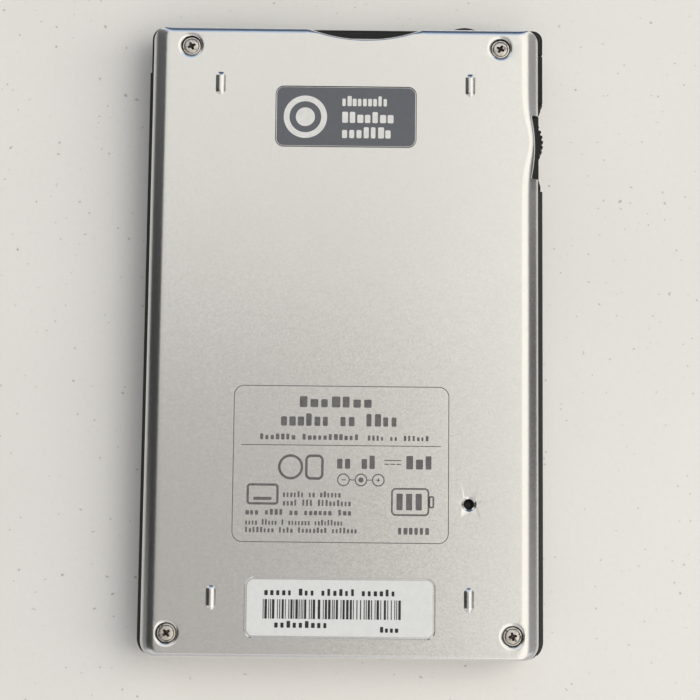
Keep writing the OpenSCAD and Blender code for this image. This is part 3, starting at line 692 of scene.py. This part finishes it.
# approvals box: title lines, plain symbols, small lines and a row of cells
ink = Print(TOP - SUNK)
ink.frame((-0.07, -24.8), (41.9, 30.45), 2.0, 0.16)
ink.bar(-19.4, 19.3, -21.28, -21.12, 0.05)
ink.words(-8.2, 6.4, -13.8, -11.65, (7,), 3, 0.25, 0.95)
ink.words(-11.8, 11.3, -17.45, -15.0, (6, 2, 4), 5, 0.25)
ink.words(-15.8, 3.6, -20.15, -19.0, (7, 11), 7, 0.15)
ink.words(5.1, 17.2, -20.2, -19.2, (4, 2, 6), 8, 0.1, 0.7)
ink.annulus((-9.8, -25.45), 2.45, 0.5)
ink.frame((-5.2, -25.45), (3.6, 4.9), 1.1, 0.5)
ink.words(-0.8, 7.0, -25.7, -23.1, (2, 2), 11, 0.2)
ink.bar(8.35, 11.6, -24.1, -23.9, 0.05)
for dash in range(3):
    ink.bar(8.35 + 1.15 * dash, 9.3 + 1.15 * dash, -24.85, -24.65, 0.05)
ink.words(12.6, 18.2, -25.7, -23.1, (3,), 13, 0.2)
for centre in (0.45, 3.85, 7.2):
    ink.annulus((centre, -27.85), 1.24, 0.24)
ink.disc((3.85, -27.85), 0.5)
ink.bar(1.69, 2.61, -27.95, -27.75, 0.05)
ink.bar(5.09, 5.96, -27.95, -27.75, 0.05)
ink.bar(0.0, 0.9, -27.94, -27.76, 0.05)
ink.bar(6.8, 7.6, -27.94, -27.76, 0.05)
ink.bar(7.11, 7.29, -28.25, -27.45, 0.05)
ink.frame((-15.15, -30.75), (6.2, 4.1), 0.7, 0.45)
ink.bar(-16.9, -13.4, -31.9, -31.3, 0.15)
ink.words(-11.2, 0.2, -31.3, -30.1, (6, 2, 6), 17, 0.1, 0.75)
ink.words(-11.2, 2.2, -32.95, -31.75, (4, 3, 9), 19, 0.1, 0.75)
ink.words(-18.4, 2.3, -34.75, -33.6, (3, 4, 2, 6, 3), 23, 0.14)
ink.words(-18.4, 0.6, -36.7, -35.6, (4, 5, 1, 7, 9), 29, 0.1, 0.75)
ink.words(-18.4, 3.4, -38.15, -37.1, (8, 4, 8, 7), 31, 0.1, 0.75)
ink.frame((13.4, -32.0), (7.4, 5.4), 0.9, 0.34)
ink.frame((17.5, -32.0), (1.1, 2.4), 0.4, 0.34)
for cell in range(3):
    ink.bar(10.75 + 1.85 * cell, 11.95 + 1.85 * cell, -33.6, -30.4, 0.2)
ink.words(11.1, 17.4, -38.3, -36.5, (6,), 37, 0.2)
ink_print = ink.object("rating_print")
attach(ink_print, "case")

# badge: a ring with a disc in it, and three lines
badge_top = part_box("badge_label")[1].z / MM
light = Print(badge_top - SUNK)
light.frame(BADGE, (27.56, 11.96), 1.48, 0.07, 10)
light.annulus((-7.9, 44.0), 4.3, 1.15, 56)
light.disc((-7.9, 44.0), 1.9, 40)
light.words(-0.6, 8.6, 46.25, 48.3, (9,), 41, 0.2, 0.98)
light.words(-0.6, 9.9, 42.85, 45.1, (7,), 43, 0.25, 0.98)
light.words(-0.6, 9.4, 39.75, 42.0, (7,), 47, 0.25, 0.98)
badge_print = light.object("badge_print")
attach(badge_print, "case")

# rating label: bars of random widths between lines
label_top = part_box("rating_label")[1].z / MM
code = Print(label_top - SUNK)
code.words(-14.5, 11.1, -50.15, -48.85, (5, 3, 6, 6), 53, 0.12, 0.7, 0.8)
chance = random.Random(59)
x, bars_end = -14.75, 12.0
while x < bars_end - 0.1:
    bar_width = chance.choice((0.16, 0.16, 0.18, 0.2, 0.42, 0.48))
    code.bar(x, min(x + bar_width, bars_end), -54.6, -50.9, 0.02)
    x += bar_width + chance.choice((0.16, 0.2, 0.22, 0.26, 0.5))
code.words(-12.5, -1.9, -56.3, -55.0, (9,), 61, 0.12, 0.75)
code.words(7.8, 11.6, -57.05, -55.95, (4,), 67, 0.12, 0.8)
label_print = code.object("label_print")
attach(label_print, "case")

# ---------------------------------------------------------------- edges of the CAD nodes


def soften(name, width=0.1, segments=2, angle=34.0):
    """Rounds a CAD node's sharp edges a little, so that they catch the light."""
    obj = NODES[name]
    mesh = obj.data
    mesh.polygons.foreach_set("use_smooth", [True] * len(mesh.polygons))
    if "custom_normal" in mesh.attributes:
        mesh.attributes.remove(mesh.attributes["custom_normal"])
    weld = obj.modifiers.new("weld", "WELD")
    weld.merge_threshold = 2e-6
    bevel = obj.modifiers.new("bevel", "BEVEL")
    bevel.width = width * MM
    bevel.segments = segments
    bevel.limit_method = "ANGLE"
    bevel.angle_limit = math.radians(angle)
    bevel.use_clamp_overlap = True
    even_normals(obj)


EDGE = {
    "front_bezel": 0.12, "mid_frame": 0.12, "left_side_rail": 0.25, "right_side_rail": 0.25,
    "record_button": 0.2, "power_button": 0.1, "jog_wheel": 0.07, "stylus_cap": 0.2,
    "badge_label": 0.05, "rating_label": 0.02, "card_blank": 0.15, "battery_pack": 0.4,
    "nav_pad": 0.2, "nav_centre_button": 0.25,
    "app_button_1": 0.2, "app_button_2": 0.2, "app_button_3": 0.2, "app_button_4": 0.2,
}
for name in NODES:
    if name not in ("rear_cover", "case_screws"):
        soften(name, EDGE.get(name, 0.06))

# ---------------------------------------------------------------- materials


def add_node(tree, kind, **values):
    made = tree.nodes.new(kind)
    for key, value in values.items():
        setattr(made, key, value)
    return made


class Shade:
    """Small helper round a node tree with one Principled shader."""

    def __init__(self, name):
        self.mat = bpy.data.materials.new(name)
        self.mat.use_nodes = True
        self.tree = self.mat.node_tree
        self.tree.nodes.clear()
        self.out = self.node("ShaderNodeOutputMaterial")
        self.shader = self.node("ShaderNodeBsdfPrincipled")
        self.link(self.shader.outputs["BSDF"], self.out.inputs["Surface"])
        self.place = self.node("ShaderNodeTexCoord").outputs["Object"]

    def node(self, kind, **values):
        return add_node(self.tree, kind, **values)

    def link(self, a, b):
        self.tree.links.new(a, b)

    def set(self, socket, value):
        self.shader.inputs[socket].default_value = value

    def noise(self, scale, detail=2.0, rough=0.5, stretch=None):
        made = self.node("ShaderNodeTexNoise")
        made.inputs["Scale"].default_value = scale
        made.inputs["Detail"].default_value = detail
        made.inputs["Roughness"].default_value = rough
        self.link(self.stretched(stretch), made.inputs["Vector"])
        return made.outputs["Fac"]

    def cells(self, scale, output="Distance", feature="F1"):
        made = self.node("ShaderNodeTexVoronoi", feature=feature)
        made.inputs["Scale"].default_value = scale
        self.link(self.place, made.inputs["Vector"])
        return made.outputs[output]

    def stretched(self, stretch):
        if stretch is None:
            return self.place
        made = self.node("ShaderNodeMapping")
        made.inputs["Scale"].default_value = stretch
        self.link(self.place, made.inputs["Vector"])
        return made.outputs["Vector"]

    def span(self, value, low, high, out_low=0.0, out_high=1.0):
        """Maps low..high smoothly to out_low..out_high."""
        made = self.node("ShaderNodeMapRange", interpolation_type="SMOOTHSTEP")
        limits = {"From Min": low, "From Max": high, "To Min": out_low, "To Max": out_high}
        for key, number in limits.items():
            made.inputs[key].default_value = number
        self.link(value, made.inputs["Value"])
        return made.outputs["Result"]

    def math(self, operation, a, b):
        made = self.node("ShaderNodeMath", operation=operation)
        for i, v in enumerate((a, b)):
            if isinstance(v, (int, float)):
                made.inputs[i].default_value = v
            else:
                self.link(v, made.inputs[i])
        return made.outputs[0]

    def mix(self, factor, a, b):
        made = self.node("ShaderNodeMix", data_type="RGBA")
        self.link(factor, made.inputs["Factor"])
        for socket, v in ((made.inputs[6], a), (made.inputs[7], b)):
            if isinstance(v, tuple):
                socket.default_value = (*v, 1.0)
            else:
                self.link(v, socket)
        return made.outputs[2]

    def colour(self, value):
        self.link(value, self.shader.inputs["Base Color"])

    def two_tone(self, value, low, high, dark, light):
        """Base colour that goes from dark to light as the value goes from low to high."""
        self.colour(self.mix(self.span(value, low, high), dark, light))

    def rough(self, value):
        self.link(value, self.shader.inputs["Roughness"])

    def bump(self, height, strength=0.3, depth=0.02):
        made = self.node("ShaderNodeBump")
        made.inputs["Strength"].default_value = strength
        made.inputs["Distance"].default_value = depth * MM
        self.link(height, made.inputs["Height"])
        self.link(made.outputs["Normal"], self.shader.inputs["Normal"])


def grey(value, tint=(1.0, 1.0, 1.0)):
    """Linear colour of a display grey from 0 to 255, with a tint."""
    v = value / 255
    v = v / 12.92 if v <= 0.04045 else ((v + 0.055) / 1.055) ** 2.4
    return tuple(v * t for t in tint)


def silver_paint():
    """Satin metallic paint: fine flakes that tilt the reflection a little, and faint clouding."""
    s = Shade("silver_paint")
    broad = s.noise(30, 3)
    flake = s.cells(4600, "Color")
    grain = s.noise(2600, 2, 0.6)
    split = s.node("ShaderNodeSeparateColor")
    s.link(flake, split.inputs["Color"])
    warm = (1.0, 0.99, 0.965)
    tone = s.mix(s.span(grain, 0.3, 0.7), grey(222, warm), grey(226, warm))
    tone = s.mix(s.span(broad, 0.35, 0.65, 0.0, 0.4), tone, grey(220, (1.0, 0.985, 0.955)))
    s.colour(tone)
    s.rough(s.span(s.math("ADD", split.outputs["Red"], broad), 0.3, 1.7, 0.17, 0.22))
    s.set("Metallic", 0.95)
    tilt = s.node("ShaderNodeVectorMath", operation="SUBTRACT")
    s.link(flake, tilt.inputs[0])
    tilt.inputs[1].default_value = (0.5, 0.5, 0.5)
    amount = s.node("ShaderNodeVectorMath", operation="SCALE")
    s.link(tilt.outputs[0], amount.inputs[0])
    amount.inputs["Scale"].default_value = 0.018
    bump = s.node("ShaderNodeBump")
    bump.inputs["Strength"].default_value = 0.03
    bump.inputs["Distance"].default_value = 0.008 * MM
    s.link(grain, bump.inputs["Height"])
    total = s.node("ShaderNodeVectorMath", operation="ADD")
    s.link(bump.outputs["Normal"], total.inputs[0])
    s.link(amount.outputs[0], total.inputs[1])
    unit = s.node("ShaderNodeVectorMath", operation="NORMALIZE")
    s.link(total.outputs[0], unit.inputs[0])
    s.link(unit.outputs[0], s.shader.inputs["Normal"])
    return s.mat


def moulded(
    name, dark, light, rough=(0.4, 0.55), grain=2600, depth=0.012, strength=0.35, metallic=0.0, gloss=0.5
):
    """Moulded plastic or cast finish: two tones, fine texture and a little gloss change."""
    s = Shade(name)
    fine, broad = s.noise(grain, 3, 0.6), s.noise(140, 3)
    blend = s.math("ADD", s.math("MULTIPLY", fine, 0.5), s.math("MULTIPLY", broad, 0.5))
    s.two_tone(blend, 0.35, 0.65, dark, light)
    s.rough(s.span(broad, 0.3, 0.7, rough[0], rough[1]))
    s.set("Metallic", metallic)
    s.set("Specular IOR Level", gloss)
    s.bump(fine, strength, depth)
    return s


def brushed(name, dark, light, stretch=(40, 1, 1), rough=(0.25, 0.4), scale=300):
    """Bare metal with fine lines along one direction."""
    s = Shade(name)
    lines = s.noise(scale, 4, 0.6, stretch)
    broad = s.noise(90, 2)
    s.two_tone(lines, 0.3, 0.7, dark, light)
    s.rough(s.span(s.math("ADD", lines, broad), 0.6, 1.4, rough[0], rough[1]))
    s.set("Metallic", 1.0)
    s.bump(lines, 0.2, 0.006)
    return s


def screw_steel():
    """Dull plated screw with random patches of brown grime; the cross recess and the groove are coloured a
    darker brown of their own.
    """
    clean, brown = grey(214, (1.0, 0.935, 0.86)), grey(120, (1.0, 0.86, 0.72))
    s = brushed("screw_steel", brown, clean, (1, 1, 1), scale=1800)
    grime = s.noise(1100, 4, 0.65)
    s.colour(s.mix(s.span(grime, 0.54, 0.66, 0.0, 0.85), clean, brown))
    s.rough(s.span(grime, 0.45, 0.65, 0.3, 0.65))
    return s.mat


def dark_recess_brown():
    """Dark brown colour on the cross recess and the groove of a screw."""
    s = Shade("dark_recess_brown")
    clump = s.noise(1500, 3, 0.6)
    s.two_tone(clump, 0.4, 0.7, grey(26, (1.15, 0.95, 0.8)), grey(84, (1.1, 0.95, 0.82)))
    s.rough(s.span(clump, 0.4, 0.7, 0.8, 0.6))
    return s.mat


def circuit_board():
    """Green board with a net of paler tracks."""
    s = moulded("board_green", grey(38, (0.5, 1.25, 0.8)), grey(62, (0.5, 1.25, 0.8)), (0.3, 0.45), 1500)
    tracks = s.cells(700, "Distance", "DISTANCE_TO_EDGE")
    lines = s.span(tracks, 0.04, 0.07)
    s.colour(s.mix(lines, grey(104, (0.6, 1.15, 0.75)), grey(50, (0.45, 1.3, 0.8))))
    return s.mat


def glass(name, tint, rough):
    """Dark glossy sheet with faint smears."""
    s = Shade(name)
    smear = s.noise(60, 3)
    s.two_tone(smear, 0.3, 0.7, tint, tuple(min(1.0, c * 1.12) for c in tint))
    s.rough(s.span(smear, 0.3, 0.7, rough, rough + 0.08))
    s.set("Coat Weight", 0.6)
    s.set("Coat Roughness", 0.06)
    s.bump(smear, 0.05, 0.02)
    return s


def foam(name, dark, light):
    """Dull porous sheet."""
    s = Shade(name)
    pores = s.cells(1800)
    s.two_tone(pores, 0.1, 0.5, dark, light)
    s.rough(s.span(pores, 0.1, 0.5, 0.8, 0.95))
    s.bump(pores, 0.6, 0.05)
    return s


def film(name, dark, light, rough=(0.3, 0.45)):
    """Thin plastic or paper with a fine grain."""
    s = Shade(name)
    fibre = s.noise(900, 3, 0.6)
    s.two_tone(fibre, 0.3, 0.7, dark, light)
    s.rough(s.span(fibre, 0.3, 0.7, rough[0], rough[1]))
    s.bump(fibre, 0.08, 0.01)
    return s


MATERIALS = {
    "silver_paint": silver_paint(),
    "screw_steel": screw_steel(),
    "board_green": circuit_board(),
}
FINISHES = {
    moulded: {
        "black_plastic": (
            grey(18), grey(28, (0.97, 0.99, 1.03)),
            (0.36, 0.52), 2600, 0.012, 0.35, 0.0, 0.3,
        ),
        "black_rubber": (grey(32), grey(43, (0.98, 0.99, 1.02)), (0.55, 0.72), 1800, 0.02),
        "chip_black": (grey(34), grey(48), (0.45, 0.6), 3000),
        "lead_red": (grey(120, (1.5, 0.2, 0.18)), grey(150, (1.4, 0.2, 0.18)), (0.4, 0.5)),
        "key_silicone": (grey(132, (1.0, 1.0, 1.03)), grey(146, (1.0, 1.0, 1.03)), (0.6, 0.75)),
        "key_grey": (grey(158), grey(174, (1.0, 1.0, 1.02)), (0.32, 0.45), 3000, 0.008, 0.3, 0.35),
        "centre_grey": (grey(108), grey(124, (1.0, 1.0, 1.03)), (0.3, 0.42), 3000, 0.008, 0.3, 0.4),
        "switch_black": (grey(38), grey(52), (0.4, 0.5)),
        "carrier_grey": (grey(74), grey(90), (0.4, 0.55)),
        "tip_white": (grey(214), grey(228), (0.35, 0.5)),
        "silo_black": (grey(40), grey(54), (0.5, 0.65)),
        "switch_cream": (grey(196, (1.0, 0.96, 0.86)), grey(210, (1.0, 0.97, 0.88)), (0.4, 0.5)),
        "plunger_black": (grey(24), grey(36), (0.45, 0.6)),
    },
    brushed: {
        "tin_steel": (grey(150), grey(190)),
        "contact_gold": (grey(186, (1.0, 0.76, 0.3)), grey(214, (1.0, 0.8, 0.38)), (1, 30, 1)),
    },
    film: {
        "badge_grey": (grey(88, (0.92, 0.98, 1.12)), grey(93, (0.92, 0.98, 1.12)), (0.45, 0.6)),
        "label_film": (grey(207, (0.985, 1.0, 0.99)), grey(212, (0.99, 1.0, 0.99)), (0.4, 0.55)),
        "diffuser_white": (grey(226), grey(238, (1.0, 1.0, 0.99))),
        "flex_amber": (grey(150, (1.0, 0.62, 0.2)), grey(176, (1.0, 0.64, 0.22))),
        "sheet_film": (grey(212, (1.0, 0.93, 0.55)), grey(224, (1.0, 0.94, 0.6))),
        "cell_blue": (grey(76, (0.7, 1.0, 1.7)), grey(92, (0.7, 1.0, 1.7))),
        "light_pipe": (grey(198, (0.97, 1.02, 0.97)), grey(214, (0.98, 1.02, 0.98)), (0.15, 0.3)),
    },
    glass: {
        "touch_glass": (grey(70, (0.95, 1.02, 1.0)), 0.12),
        "lcd_dark": (grey(34, (0.9, 1.0, 1.1)), 0.18),
        "window_red": (grey(44, (1.7, 0.35, 0.45)), 0.1),
    },
    foam: {
        "gasket_foam": (grey(28), grey(52)),
        "mesh_black": (grey(16), grey(44)),
    },
}
for finish, named in FINISHES.items():
    for name, values in named.items():
        MATERIALS[name] = finish(name, *values).mat
PRINT_INK = film("print_ink", grey(82, (1.0, 0.99, 0.98)), grey(100, (1.0, 0.99, 1.0)), (0.4, 0.6)).mat
BADGE_INK = film("badge_ink", grey(202, (1.0, 0.995, 0.97)), grey(212, (1.0, 0.995, 0.97)), (0.4, 0.55)).mat
LABEL_INK = film("label_ink", grey(22), grey(38), (0.4, 0.55)).mat


def paint(obj, material):
    if obj.material_slots:
        for entry in obj.material_slots:
            entry.material = material
    else:
        obj.data.materials.append(material)


def paint_faces(obj, material, chosen):
    """Second material on the faces whose distance from a screw's axis and height are chosen."""
    obj.data.materials.append(material)
    for face in obj.data.polygons:
        spot = face.center / MM - SHIFT
        near = min((spot.xy - Vector((x, y))).length for x, y, _ in SCREWS)
        if chosen(near, spot.z):
            face.material_index = 1


# Painted shade: picks the wall and floor deep in each screw well, which take black plastic instead of silver
# so the gap round the screw head reads dark.
def in_painted_well_shade(near, z):
    return near < WELL_RADIUS + 0.03 and z < TOP - 0.47


def in_recess(near, z):
    """The cross, and the ring groove round it."""
    below = TOP - WELL_DEPTH + HEAD_HEIGHT - z
    return (near < 0.95 and below > 0.01) or (1.4 < near < 1.51 and below > 0.14)


slot_of = {s["node"]: s["material_slot"] for s in frame["record"]["subparts"]}
for name, obj in NODES.items():
    paint(obj, MATERIALS[slot_of[name]])
for obj, material in (
    (cover, MATERIALS["silver_paint"]), (screws, MATERIALS["screw_steel"]),
    (ink_print, PRINT_INK), (badge_print, BADGE_INK), (label_print, LABEL_INK),
):
    paint(obj, material)
# Painted shade: black plastic on the deep wall and floor of the screw wells.
paint_faces(cover, MATERIALS["black_plastic"], in_painted_well_shade)
# Darker brown colour on the cross recess and the ring groove of each screw.
paint_faces(screws, dark_recess_brown(), in_recess)

# ---------------------------------------------------------------- floor, camera and light


def make_floor():
    build = Build()
    rings = [build.ring(circle((0, 0), r, 0, 64)) for r in (150, 700, 2600)]
    build.skin(rings)
    build.cap(rings[0])
    floor = build.object("table_top")
    s = Shade("table_top")
    broad, fine = s.noise(9, 3), s.noise(900, 4, 0.7)
    speck = s.span(s.noise(900, 2, 0.4), 0.71, 0.75)
    warm = (1.0, 0.985, 0.95)
    tone = s.mix(s.span(broad, 0.3, 0.7), grey(216, warm), grey(222, warm))
    tone = s.mix(s.span(fine, 0.3, 0.7, 0.0, 0.2), tone, grey(208, (1.0, 0.98, 0.94)))
    s.colour(s.mix(speck, tone, grey(178, (1.0, 0.97, 0.93))))
    s.set("Roughness", 0.75)
    s.bump(fine, 0.12, 0.02)
    paint(floor, s.mat)


def make_camera():
    """The photograph's viewpoint: above the lower half, leaning a little towards the top edge."""
    spot = (Vector((1.452, -49.66, 382.97)) + SHIFT) * MM
    lean, roll, field = math.radians(7.237), math.radians(0.629), math.radians(20.69)
    forward = Vector((0, math.sin(lean), -math.cos(lean)))
    level, up = Vector((1, 0, 0)), Vector((0, math.cos(lean), math.sin(lean)))
    right = math.cos(roll) * level + math.sin(roll) * up
    top = -math.sin(roll) * level + math.cos(roll) * up
    data = bpy.data.cameras.new("view")
    data.sensor_width = 36
    data.lens = 18 / math.tan(field / 2)
    data.clip_start, data.clip_end = 0.01, 20
    camera = bpy.data.objects.new("view", data)
    bpy.context.scene.collection.objects.link(camera)
    turn = Matrix((right, top, -forward)).transposed().to_4x4()
    turn.translation = spot
    camera.matrix_world = turn
    bpy.context.scene.camera = camera


def area(name, spot, target, size, power, colour):
    """Soft rectangular light that isn't mirrored in the silver."""
    data = bpy.data.lights.new(name, "AREA")
    data.shape = "RECTANGLE"
    data.size, data.size_y = size
    data.energy = power
    data.color = colour
    lamp = bpy.data.objects.new(name, data)
    bpy.context.scene.collection.objects.link(lamp)
    lamp.location = spot
    lamp.visible_glossy = False
    lamp.rotation_mode = "QUATERNION"
    lamp.rotation_quaternion = (Vector(target) - Vector(spot)).to_track_quat("-Z", "Y")


def make_world():
    """A soft pale dome made of broad patches: bright to the right, dark low on the left.

    The side patches stop short of the two ends, so the object stays silver seen from a corner.
    """
    world = bpy.data.worlds.new("dome")
    bpy.context.scene.world = world
    world.use_nodes = True
    tree = world.node_tree
    tree.nodes.clear()

    def node(kind, **values):
        return add_node(tree, kind, **values)

    def angle_from_up(axis):
        made = node("ShaderNodeMath", operation="ARCTAN2")
        tree.links.new(split.outputs[axis], made.inputs[0])
        tree.links.new(split.outputs["Z"], made.inputs[1])
        return made.outputs[0]

    def span(value, start, end, angles=True):
        """0 at start to 1 at end, in degrees from straight up, or in hundredths of a component."""
        made = node("ShaderNodeMapRange", interpolation_type="SMOOTHSTEP")
        unit = math.pi / 180 if angles else 0.01
        made.inputs["From Min"].default_value = start * unit
        made.inputs["From Max"].default_value = end * unit
        tree.links.new(value, made.inputs["Value"])
        return made.outputs["Result"]

    def product(a, b):
        made = node("ShaderNodeMath", operation="MULTIPLY")
        tree.links.new(a, made.inputs[0])
        tree.links.new(b, made.inputs[1])
        return made.outputs[0]

    def patch(below, factor, colour):
        made = node("ShaderNodeMix", data_type="RGBA")
        tree.links.new(factor, made.inputs["Factor"])
        if isinstance(below, tuple):
            made.inputs[6].default_value = (*below, 1)
        else:
            tree.links.new(below, made.inputs[6])
        made.inputs[7].default_value = (*colour, 1)
        return made.outputs[2]

    coords = node("ShaderNodeTexCoord")
    split = node("ShaderNodeSeparateXYZ")
    tree.links.new(coords.outputs["Generated"], split.inputs[0])
    across, along = angle_from_up("X"), angle_from_up("Y")
    raw_x, raw_y = split.outputs["X"], split.outputs["Y"]

    sky = (0.98, 0.965, 0.925)
    # towards the bottom edge: pale lavender, dimmer near the horizon
    sky = patch(sky, span(along, -14, -60), (0.55, 0.54, 0.58))
    # overhead, a dim patch a little to the left: whoever holds the camera
    wide = product(span(across, -44, -30), span(across, 5, 0.5))
    dim = product(wide, product(span(along, -40, -20), span(along, 12, 5)))
    sky = patch(sky, dim, (0.48, 0.47, 0.45))
    # right: a brighter band, then mid grey down to the horizon, with a dark gap in the middle
    sky = patch(sky, product(span(across, 2, 13), span(across, 47, 37)), (1.36, 1.31, 1.22))
    level = product(span(raw_y, -34, -20, False), span(raw_y, 58, 46, False))
    sky = patch(sky, product(span(across, 37, 46), level), (0.36, 0.365, 0.37))
    gap = product(span(raw_y, 0, 8, False), span(raw_y, 25, 14, False))
    sky = patch(sky, product(span(across, 41, 50), gap), (0.02, 0.022, 0.025))
    # left: dark from a third of the way up down to the horizon
    sky = patch(sky, product(span(across, -21, -31), level), (0.008, 0.01, 0.012))
    lighter = product(span(across, -30, -40), span(raw_y, 17, 27, False))
    sky = patch(sky, product(lighter, level), (0.09, 0.093, 0.095))
    low = product(span(across, -56, -68), span(raw_y, 5, -1, False))
    sky = patch(sky, product(low, level), (0.26, 0.26, 0.25))
    sky = patch(sky, span(across, -80, -87), (0.5, 0.5, 0.49))

    # beyond the top edge: a window's pale blue sky with a dark blue sill below it
    window = product(span(raw_x, -50, -36, False), span(raw_x, 50, 36, False))
    pale = product(window, span(raw_y, 46, 64, False))
    dark = product(window, span(raw_y, 68, 82, False))
    sky = patch(sky, product(pale, span(raw_y, 99.5, 97.5, False)), (0.52, 0.7, 1.0))
    sky = patch(sky, product(dark, span(raw_y, 99, 96.5, False)), (0.03, 0.06, 0.12))

    glow = node("ShaderNodeBackground")
    tree.links.new(sky, glow.inputs["Color"])
    glow.inputs["Strength"].default_value = 1.0
    plain = node("ShaderNodeBackground")
    plain.inputs["Color"].default_value = (0.72, 0.715, 0.7, 1)
    path = node("ShaderNodeLightPath")
    pick = node("ShaderNodeMixShader")
    tree.links.new(path.outputs["Is Camera Ray"], pick.inputs["Fac"])
    tree.links.new(glow.outputs[0], pick.inputs[1])
    tree.links.new(plain.outputs[0], pick.inputs[2])
    out = node("ShaderNodeOutputWorld")
    tree.links.new(pick.outputs[0], out.inputs["Surface"])


make_floor()
make_camera()
make_world()
area("window_light", (0.85, 0.02, 0.8), (0, 0, 0), (0.9, 1.3), 10.5, (1.0, 0.97, 0.91))

view = bpy.context.scene.view_settings
view.view_transform = "Standard"
view.look = "None"
